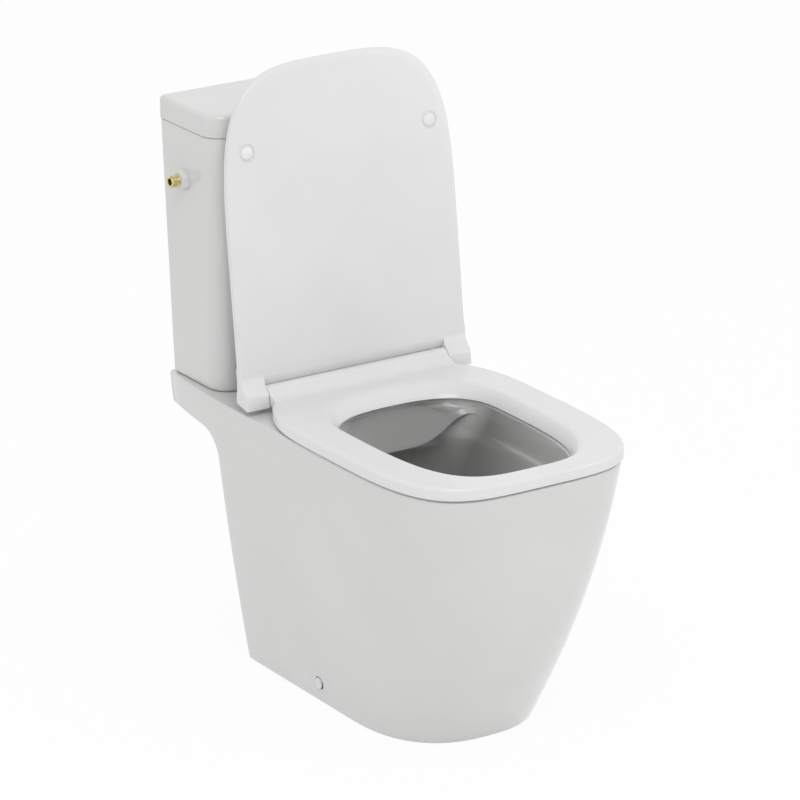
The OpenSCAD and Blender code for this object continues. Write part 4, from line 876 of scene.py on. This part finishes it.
class TOILET_OT_fittings(bpy.types.Operator):
    """Builds the flush button, the water inlet and the side screws' caps"""

    bl_idname = "toilet.fittings"
    bl_label = "Fittings"

    def execute(self, context):
        # The split button and its bezel.
        for node, name in (
            ("button_bezel", "chrome_bezel"),
            ("full_button", "chrome_full_button"),
            ("half_button", "chrome_half_button"),
        ):
            piece = softened(node, name, 0.9 * MM)
            wear(piece, "Bright chrome plate")
            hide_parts(node)
            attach(piece, {"button_bezel": "pan"}.get(node, node))

        # The inlet's brass tail, with a helical thread on its free end.
        def circle(x, radii):
            """A ring of points at x, with the radius that radii gives for each share of the turn."""
            turns = [(radii(j / 64), 2 * math.pi * j / 64) for j in range(64)]
            return [(x, NUT_Y + r * math.cos(turn), NUT_Z + r * math.sin(turn)) for r, turn in turns]

        free, shank = TAIL_LOW.x, NUT_LOW.x
        rings = []
        for k in range(61):
            x = mix(free, shank, k / 60)
            chamfer = 0.8 * MM * (1 - ease((x - free) / (0.9 * MM)))
            fade = ease((x - free) / (1.2 * MM)) * ease((shank - x) / (1.6 * MM))

            def radii(share):
                groove = 1 - abs(2 * (((x - free) / THREAD_PITCH + share) % 1) - 1)
                return THREAD_CREST - THREAD_DEPTH * ease(groove, 0.30, 0.95) * fade - chamfer

            rings.append(circle(x, radii))
        plain = [
            (shank + 0.5 * MM, INLET_SHANK), (TAIL_HIGH.x, INLET_SHANK), (TAIL_HIGH.x, INLET_BORE),
            (free + 0.4 * MM, INLET_BORE), (free, INLET_BORE + 0.6 * MM),
        ]
        rings += [circle(x, lambda _, radius=radius: radius) for x, radius in plain]
        tail = lofted("threaded_inlet_tail", rings, True, 50)
        wear(tail, "Turned brass")
        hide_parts("inlet_tail")
        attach(tail, "pan")
        nut = softened("inlet_nut", "moulded_inlet_nut", 1.3 * MM, 4)
        wear(nut, "Moulded acetal")
        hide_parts("inlet_nut")
        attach(nut, "pan")
        # The caps over the side screws.
        high = CAP_HEIGHT
        profile = [
            (0, high), (CAPS_R * 0.55, high - 0.1 * MM), (CAPS_R * 0.8, high - 0.45 * MM),
            (CAPS_R * 0.93, high - 1.1 * MM), (CAPS_R, high - 2.2 * MM), (CAPS_R, 0), (0, 0),
        ]
        bm = bmesh.new()
        for s in (-1, 1):
            cap = bmesh.new()
            turned(cap, profile, 56)
            face = Matrix.Translation((s * CAPS_HIGH.x, CAPS_Y, CAPS_Z))
            face = face @ Matrix.Rotation(s * math.pi / 2, 4, "Y") @ Matrix.Translation((0, 0, -high))
            bmesh.ops.transform(cap, matrix=face, verts=cap.verts)
            gather(bm, cap)
        caps = finished(bm, "chrome_side_caps")
        wear(caps, "Bright chrome plate", "Smoked nickel band")
        # The painted dark reflection runs round the side, where the faces turn away from the cap's front.
        for face in caps.data.polygons:
            if abs(face.normal.x) < 0.6:
                face.material_index = 1
        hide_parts("side_caps")
        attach(caps, "pan")
        return {"FINISHED"}


# ---- Finishes ----


def add(tree, kind, settings=(), links=()):
    """Adds a node with its settings (socket or attribute: value) and links (socket: other socket)."""
    node = tree.nodes.new("ShaderNode" + kind)
    for key, value in dict(settings).items():
        if isinstance(key, int) or key in node.inputs:
            node.inputs[key].default_value = value
        else:
            setattr(node, key, value)
    for key, source in dict(links).items():
        tree.links.new(source, node.inputs[key])
    return node


# The slight tooth of a moulded surface: the noise scale and strength of its bump.
TOOTH = (1400, 0.10)
# Name, shader settings, tone patches per metre, darker and lighter tone, the bump's noise
# scale and strength, and the nodes that wear it.
FINISHES = (
    # Vitreous china under a white glaze, fired: a clear gloss that pools in waves 40 mm long.
    ("Glazed vitreous china",
     {"Roughness": 0.16, "IOR": 1.52, "Coat Weight": 0.35, "Coat Roughness": 0.04},
     6, "glaze", "glaze_light", (25, 0.05),
     "pan_rim pan_skirt pan_bowl pan_trapway cistern_tank cistern_lid"),
    # Urea moulding powder pressed in a polished mould: dense, even white with a soft gloss.
    ("Moulded urea seat",
     {"Roughness": 0.24, "IOR": 1.54, "Coat Weight": 0.2, "Coat Roughness": 0.10},
     9, "seat", "seat_light", (900, 0.02),
     "seat_ring seat_lid lid_rear_lip"),
    # Chrome plate on a polished body: mirror bright, with a trace of wiping haze.
    ("Bright chrome plate", {"Metallic": 1.0}, 180, "chrome", "chrome_light", None,
     "button_bezel full_button half_button hinge_plates side_caps"),
    # Chrome drawn dark on the caps' sides: a painted dark reflection, a ring under the bright face.
    ("Smoked nickel band", {"Metallic": 1.0, "Roughness": 0.32},
     300, "#6E6F70", "#7C7D7E", None, ""),
    # Free-cutting brass, turned: rings from the tool along X, and warm tarnish in patches.
    ("Turned brass", {"Metallic": 1.0, "Roughness": 0.28},
     220, "brass", "brass_light", None,
     "inlet_tail coupling_wing_nuts"),
    # Stainless steel, brushed: an even grey sheen drawn out along X.
    ("Brushed stainless steel", {"Metallic": 1.0}, 0, "#B4B6B9", None, None,
     "coupling_bolts coupling_washers full_button_spring half_button_spring "
     "float_pin hinge_blocks hinge_pins hinge_posts side_screws"),
    # Acetal, moulded: an even off-white with the mould's slight tooth.
    ("Moulded acetal", {"Roughness": 0.38}, 60, "#DADAD8", "#E0E0DE", TOOTH,
     "flush_valve_body flush_valve_nut overflow_tube button_nut full_button_rod "
     "half_button_rod fill_valve_body inlet_nut float_arm float_cup seat_bush "
     "lid_bush hinge_nuts floor_brackets"),
    # Acetal dyed blue, which marks the parts that are turned by hand.
    ("Blue acetal", {"Roughness": 0.40}, 60, "#1E4C86", "#24579A", TOOTH,
     "flush_valve_head fill_valve_cap"),
    # A fine woven filter, which reads as a dark plug in the inlet's bore.
    ("Dark filter mesh", {"Roughness": 0.6}, 60, "#2C241A", "#3A3022", TOOTH,
     "inlet_filter"),
    # Acetal dyed mid grey: the dampers' matt cases.
    ("Grey acetal damper", {"Roughness": 0.42}, 60, "#55585C", "#606368", TOOTH,
     "seat_damper lid_damper"),
    # Soft white rubber, a little duller than the lid round it.
    ("Soft buffer rubber", {"Roughness": 0.50}, 60, "#E6E6E5", "#EBEBEA", TOOTH,
     "seat_buffers lid_buffers"),
    # Black nitrile rubber, moulded: almost no shine.
    ("Black seal rubber", {"Roughness": 0.70}, 60, "#1E1E20", "#2A2A2C", TOOTH,
     "coupling_seal coupling_bolt_seals flush_valve_washer inlet_washer hinge_plugs"),
    # Silicone dyed red: waxy and slightly soft in its shine.
    ("Red silicone seal", {"Roughness": 0.48}, 60, "#A63428", "#B84236", TOOTH,
     "flush_seal"),
)


class TOILET_OT_finishes(bpy.types.Operator):
    """Makes the materials and gives each CAD node its own"""

    bl_idname = "toilet.finishes"
    bl_label = "Finishes"

    def execute(self, context):
        own = context.scene.toilet_finish
        made = {}
        left = set(frame["nodes"])
        for name, look, patches, dark, light, bump, nodes in FINISHES:
            material = bpy.data.materials.new(name)
            material.use_nodes = True
            tree = material.node_tree
            shader = tree.nodes["Principled BSDF"]
            for key, value in look.items():
                shader.inputs[key].default_value = value
            place = {"Vector": add(tree, "TexCoord").outputs["Object"]}
            dark, light = (linear(c) if c[0] == "#" else getattr(own, c) for c in (dark, light or dark))
            cloud = tone = None
            if patches:
                cloud = add(tree, "TexNoise", {"Scale": patches, "Detail": 3.0}, place)
                tone = add(tree, "ValToRGB", {}, {"Fac": cloud.outputs["Fac"]})
                for stop, at, shown in zip(tone.color_ramp.elements, (0.35, 0.65), (dark, light)):
                    stop.position = at
                    stop.color = (*shown, 1)
                tree.links.new(tone.outputs["Color"], shader.inputs["Base Color"])
            else:
                shader.inputs["Base Color"].default_value = (*dark, 1)
            if bump:
                scale, strength = bump
                coarse = scale < 100
                fine, deep = (1.0, 0.6 * MM) if coarse else (2.0, 0.2 * MM)
                grain = add(tree, "TexNoise", {"Scale": scale, "Detail": fine}, place)
                relief = {"Strength": strength, "Distance": deep}
                relief = add(tree, "Bump", relief, {"Height": grain.outputs["Fac"]})
                tree.links.new(relief.outputs["Normal"], shader.inputs["Normal"])
            made[name] = tree, shader, place, cloud, tone
            for node in nodes.split():
                frame["nodes"][node].data.materials.clear()
                frame["nodes"][node].data.materials.append(material)
                left.remove(node)
        if left:
            raise RuntimeError(f"no finish for {sorted(left)}")

        # Painted shade: inside the bowl, below the rim, the glaze is mixed with a dark grey, more towards
        # the rear, for the deep shade it lies in. Places are measured from the bowl's middle at the rim.
        tree, shader, place, _, tone = made["Glazed vitreous china"]
        middle = add(tree, "Mapping", {"Location": (0, -out(465 * MM), -RIM_Z)}, place)
        reach = {"Scale": (1 / 0.150, 1 / 0.200, 1 / 0.40)}
        within = add(tree, "Mapping", reach, {"Vector": middle.outputs["Vector"]})
        away = add(tree, "VectorMath", {"operation": "LENGTH"}, {0: within.outputs["Vector"]})
        apart = add(tree, "SeparateXYZ", {}, {"Vector": middle.outputs["Vector"]})
        where = None
        for source, low, high in (
            (away.outputs["Value"], 1.0, 0.9),
            (apart.outputs["Z"], -0.5 * MM, -4 * MM),
            (apart.outputs["Y"], -140 * MM, 120 * MM),
        ):
            share = add(tree, "MapRange", {"From Min": low, "From Max": high}, {"Value": source})
            share = share.outputs["Result"]
            if where:
                both = add(tree, "Math", {"operation": "MULTIPLY"}, {0: where, 1: share})
                share = both.outputs["Value"]
            where = share
        grey = {"Color2": (*own.bowl, 1)}
        glaze = add(tree, "MixRGB", grey, {"Fac": where, "Color1": tone.outputs["Color"]})
        tree.links.new(glaze.outputs["Color"], shader.inputs["Base Color"])

        # The chrome's haze, the brass's tool rings and the steel's brushed grain.
        tree, shader, _, cloud, _ = made["Bright chrome plate"]
        haze = {"To Min": 0.07, "To Max": 0.16}
        haze = add(tree, "MapRange", haze, {"Value": cloud.outputs["Fac"]})
        tree.links.new(haze.outputs["Result"], shader.inputs["Roughness"])
        tree, shader, place, _, _ = made["Turned brass"]
        rings = {"Scale": 260, "Distortion": 0.4, "bands_direction": "X"}
        rings = add(tree, "TexWave", rings, place)
        relief = {"Strength": 0.25, "Distance": 0.08 * MM}
        relief = add(tree, "Bump", relief, {"Height": rings.outputs["Fac"]})
        tree.links.new(relief.outputs["Normal"], shader.inputs["Normal"])
        tree, shader, place, _, _ = made["Brushed stainless steel"]
        drawn = add(tree, "Mapping", {"Scale": (40, 1600, 1600)}, place)
        grain = {"Scale": 1.0, "Detail": 3.0}
        grain = add(tree, "TexNoise", grain, {"Vector": drawn.outputs["Vector"]})
        sheen = {"To Min": 0.24, "To Max": 0.42}
        sheen = add(tree, "MapRange", sheen, {"Value": grain.outputs["Fac"]})
        tree.links.new(sheen.outputs["Result"], shader.inputs["Roughness"])
        return {"FINISHED"}


# ---- Stage ----

# The camera: its place in metres, its turn, dip and roll in radians, and its lens in mm.
EYE = (-3.35522, -5.12914, 2.58857)
EYE_TURN, EYE_DIP, EYE_ROLL = -0.58328, -0.34178, -0.0017
EYE_LENS, EYE_SHIFT = 219.05, (-0.0271, 0.0049)
# The two soft lamps: place, aim, size in metres and power in watts.
LAMPS = {
    "key": ((-1.2, -2.0, 3.6), (0, 0, 0.4), 2.2, 34),
    "fill": ((2.6, -2.4, 1.2), (0, 0, 0.2), 2.0, 10),
}


class TOILET_OT_stage(bpy.types.Operator):
    """Sets the floor, the lights and the camera"""

    bl_idname = "toilet.stage"
    bl_label = "Stage"

    def execute(self, context):
        scene = context.scene
        scene.view_settings.view_transform = "Standard"

        paint = bpy.data.materials.new("Pale floor paint")
        paint.use_nodes = True
        floor_shader = paint.node_tree.nodes["Principled BSDF"]
        floor_shader.inputs["Base Color"].default_value = (0.94, 0.94, 0.94, 1)
        floor_shader.inputs["Roughness"].default_value = 0.9
        scene.world = bpy.data.worlds.new("Studio")
        scene.world.use_nodes = True
        sky = scene.world.node_tree.nodes["Background"]
        sky.inputs["Color"].default_value = (1, 1, 1, 1)
        sky.inputs["Strength"].default_value = 0.80
        # A matt floor that looks white to the eye and to polished metal and keeps the shadow, and a
        # white backdrop beyond it. Neither of them throws more light on the object.
        for tree, lit, kind, share, end in (
            (paint.node_tree, floor_shader, "Emission", 0.93, "Material Output"),
            (scene.world.node_tree, sky, "Background", 1.0, "World Output"),
        ):
            glow = add(tree, kind, {"Color": (1, 1, 1, 1), "Strength": 1.0})
            path = add(tree, "LightPath").outputs
            most = {"operation": "MAXIMUM"}
            seen = add(tree, "Math", most, {0: path["Is Camera Ray"], 1: path["Is Glossy Ray"]})
            seen = add(tree, "Math", most, {0: seen.outputs[0], 1: path["Is Transmission Ray"]})
            part = add(tree, "Math", {"operation": "MULTIPLY", 1: share}, {0: seen.outputs[0]})
            both = {0: part.outputs[0], 1: lit.outputs[0], 2: glow.outputs[0]}
            both = add(tree, "MixShader", {}, both)
            tree.links.new(both.outputs[0], tree.nodes[end].inputs["Surface"])

        bm = bmesh.new()
        bmesh.ops.create_grid(bm, x_segments=1, y_segments=1, size=6)
        bmesh.ops.translate(bm, vec=(0, 0, -0.5 * MM), verts=bm.verts)
        floor = finished(bm, "studio_floor")
        floor.data.materials.append(paint)

        for name, (place, aim, size, power) in LAMPS.items():
            lamp = bpy.data.lights.new(name, "AREA")
            lamp.shape = "DISK"
            lamp.size = size
            lamp.energy = power
            holder = bpy.data.objects.new(name, lamp)
            holder.location = place
            holder.rotation_euler = (Vector(aim) - Vector(place)).to_track_quat("-Z", "Y").to_euler()
            scene.collection.objects.link(holder)

        camera = bpy.data.cameras.new("view")
        camera.lens = EYE_LENS
        camera.sensor_width = 36
        camera.shift_x, camera.shift_y = EYE_SHIFT
        camera.clip_end = 50
        eye = bpy.data.objects.new("view", camera)
        turn = Matrix.Rotation(EYE_TURN, 4, "Z") @ Matrix.Rotation(math.pi / 2 + EYE_DIP, 4, "X")
        eye.matrix_world = Matrix.Translation(EYE) @ turn @ Matrix.Rotation(EYE_ROLL, 4, "Z")
        scene.collection.objects.link(eye)
        scene.camera = eye
        return {"FINISHED"}


class TOILET_PT_pieces(bpy.types.Panel):
    bl_label = "Close Coupled Toilet"
    bl_idname = "TOILET_PT_pieces"
    bl_space_type = "VIEW_3D"
    bl_region_type = "UI"
    bl_category = "Toilet"

    def draw(self, context):
        layout = self.layout
        for group in PROPERTIES:
            box = layout.box()
            for name in getattr(context.scene, group).bl_rna.properties.keys():
                if name not in ("rna_type", "name"):
                    box.prop(getattr(context.scene, group), name)
        for piece in PIECES:
            layout.operator(piece.bl_idname)


PROPERTIES = {
    "toilet_pan": PanSizes,
    "toilet_bowl": BowlSizes,
    "toilet_cistern": CisternSizes,
    "toilet_seat": SeatSizes,
    "toilet_finish": Finishes,
}
PIECES = (
    TOILET_OT_finishes,
    TOILET_OT_pan,
    TOILET_OT_cistern,
    TOILET_OT_seat_ring,
    TOILET_OT_seat_lid,
    TOILET_OT_fittings,
    TOILET_OT_stage,
)
CLASSES = tuple(PROPERTIES.values()) + PIECES + (TOILET_PT_pieces,)


def register():
    for item in CLASSES:
        bpy.utils.register_class(item)
    for name, group in PROPERTIES.items():
        setattr(bpy.types.Scene, name, PointerProperty(type=group))


def unregister():
    for name in PROPERTIES:
        delattr(bpy.types.Scene, name)
    for item in reversed(CLASSES):
        bpy.utils.unregister_class(item)


def main():
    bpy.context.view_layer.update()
    register()
    bpy.ops.toilet.finishes()
    bpy.ops.toilet.pan()
    bpy.ops.toilet.cistern()
    bpy.ops.toilet.seat_ring()
    bpy.ops.toilet.seat_lid()
    bpy.ops.toilet.fittings()
    bpy.ops.toilet.stage()


if __name__ == "__main__":
    main()
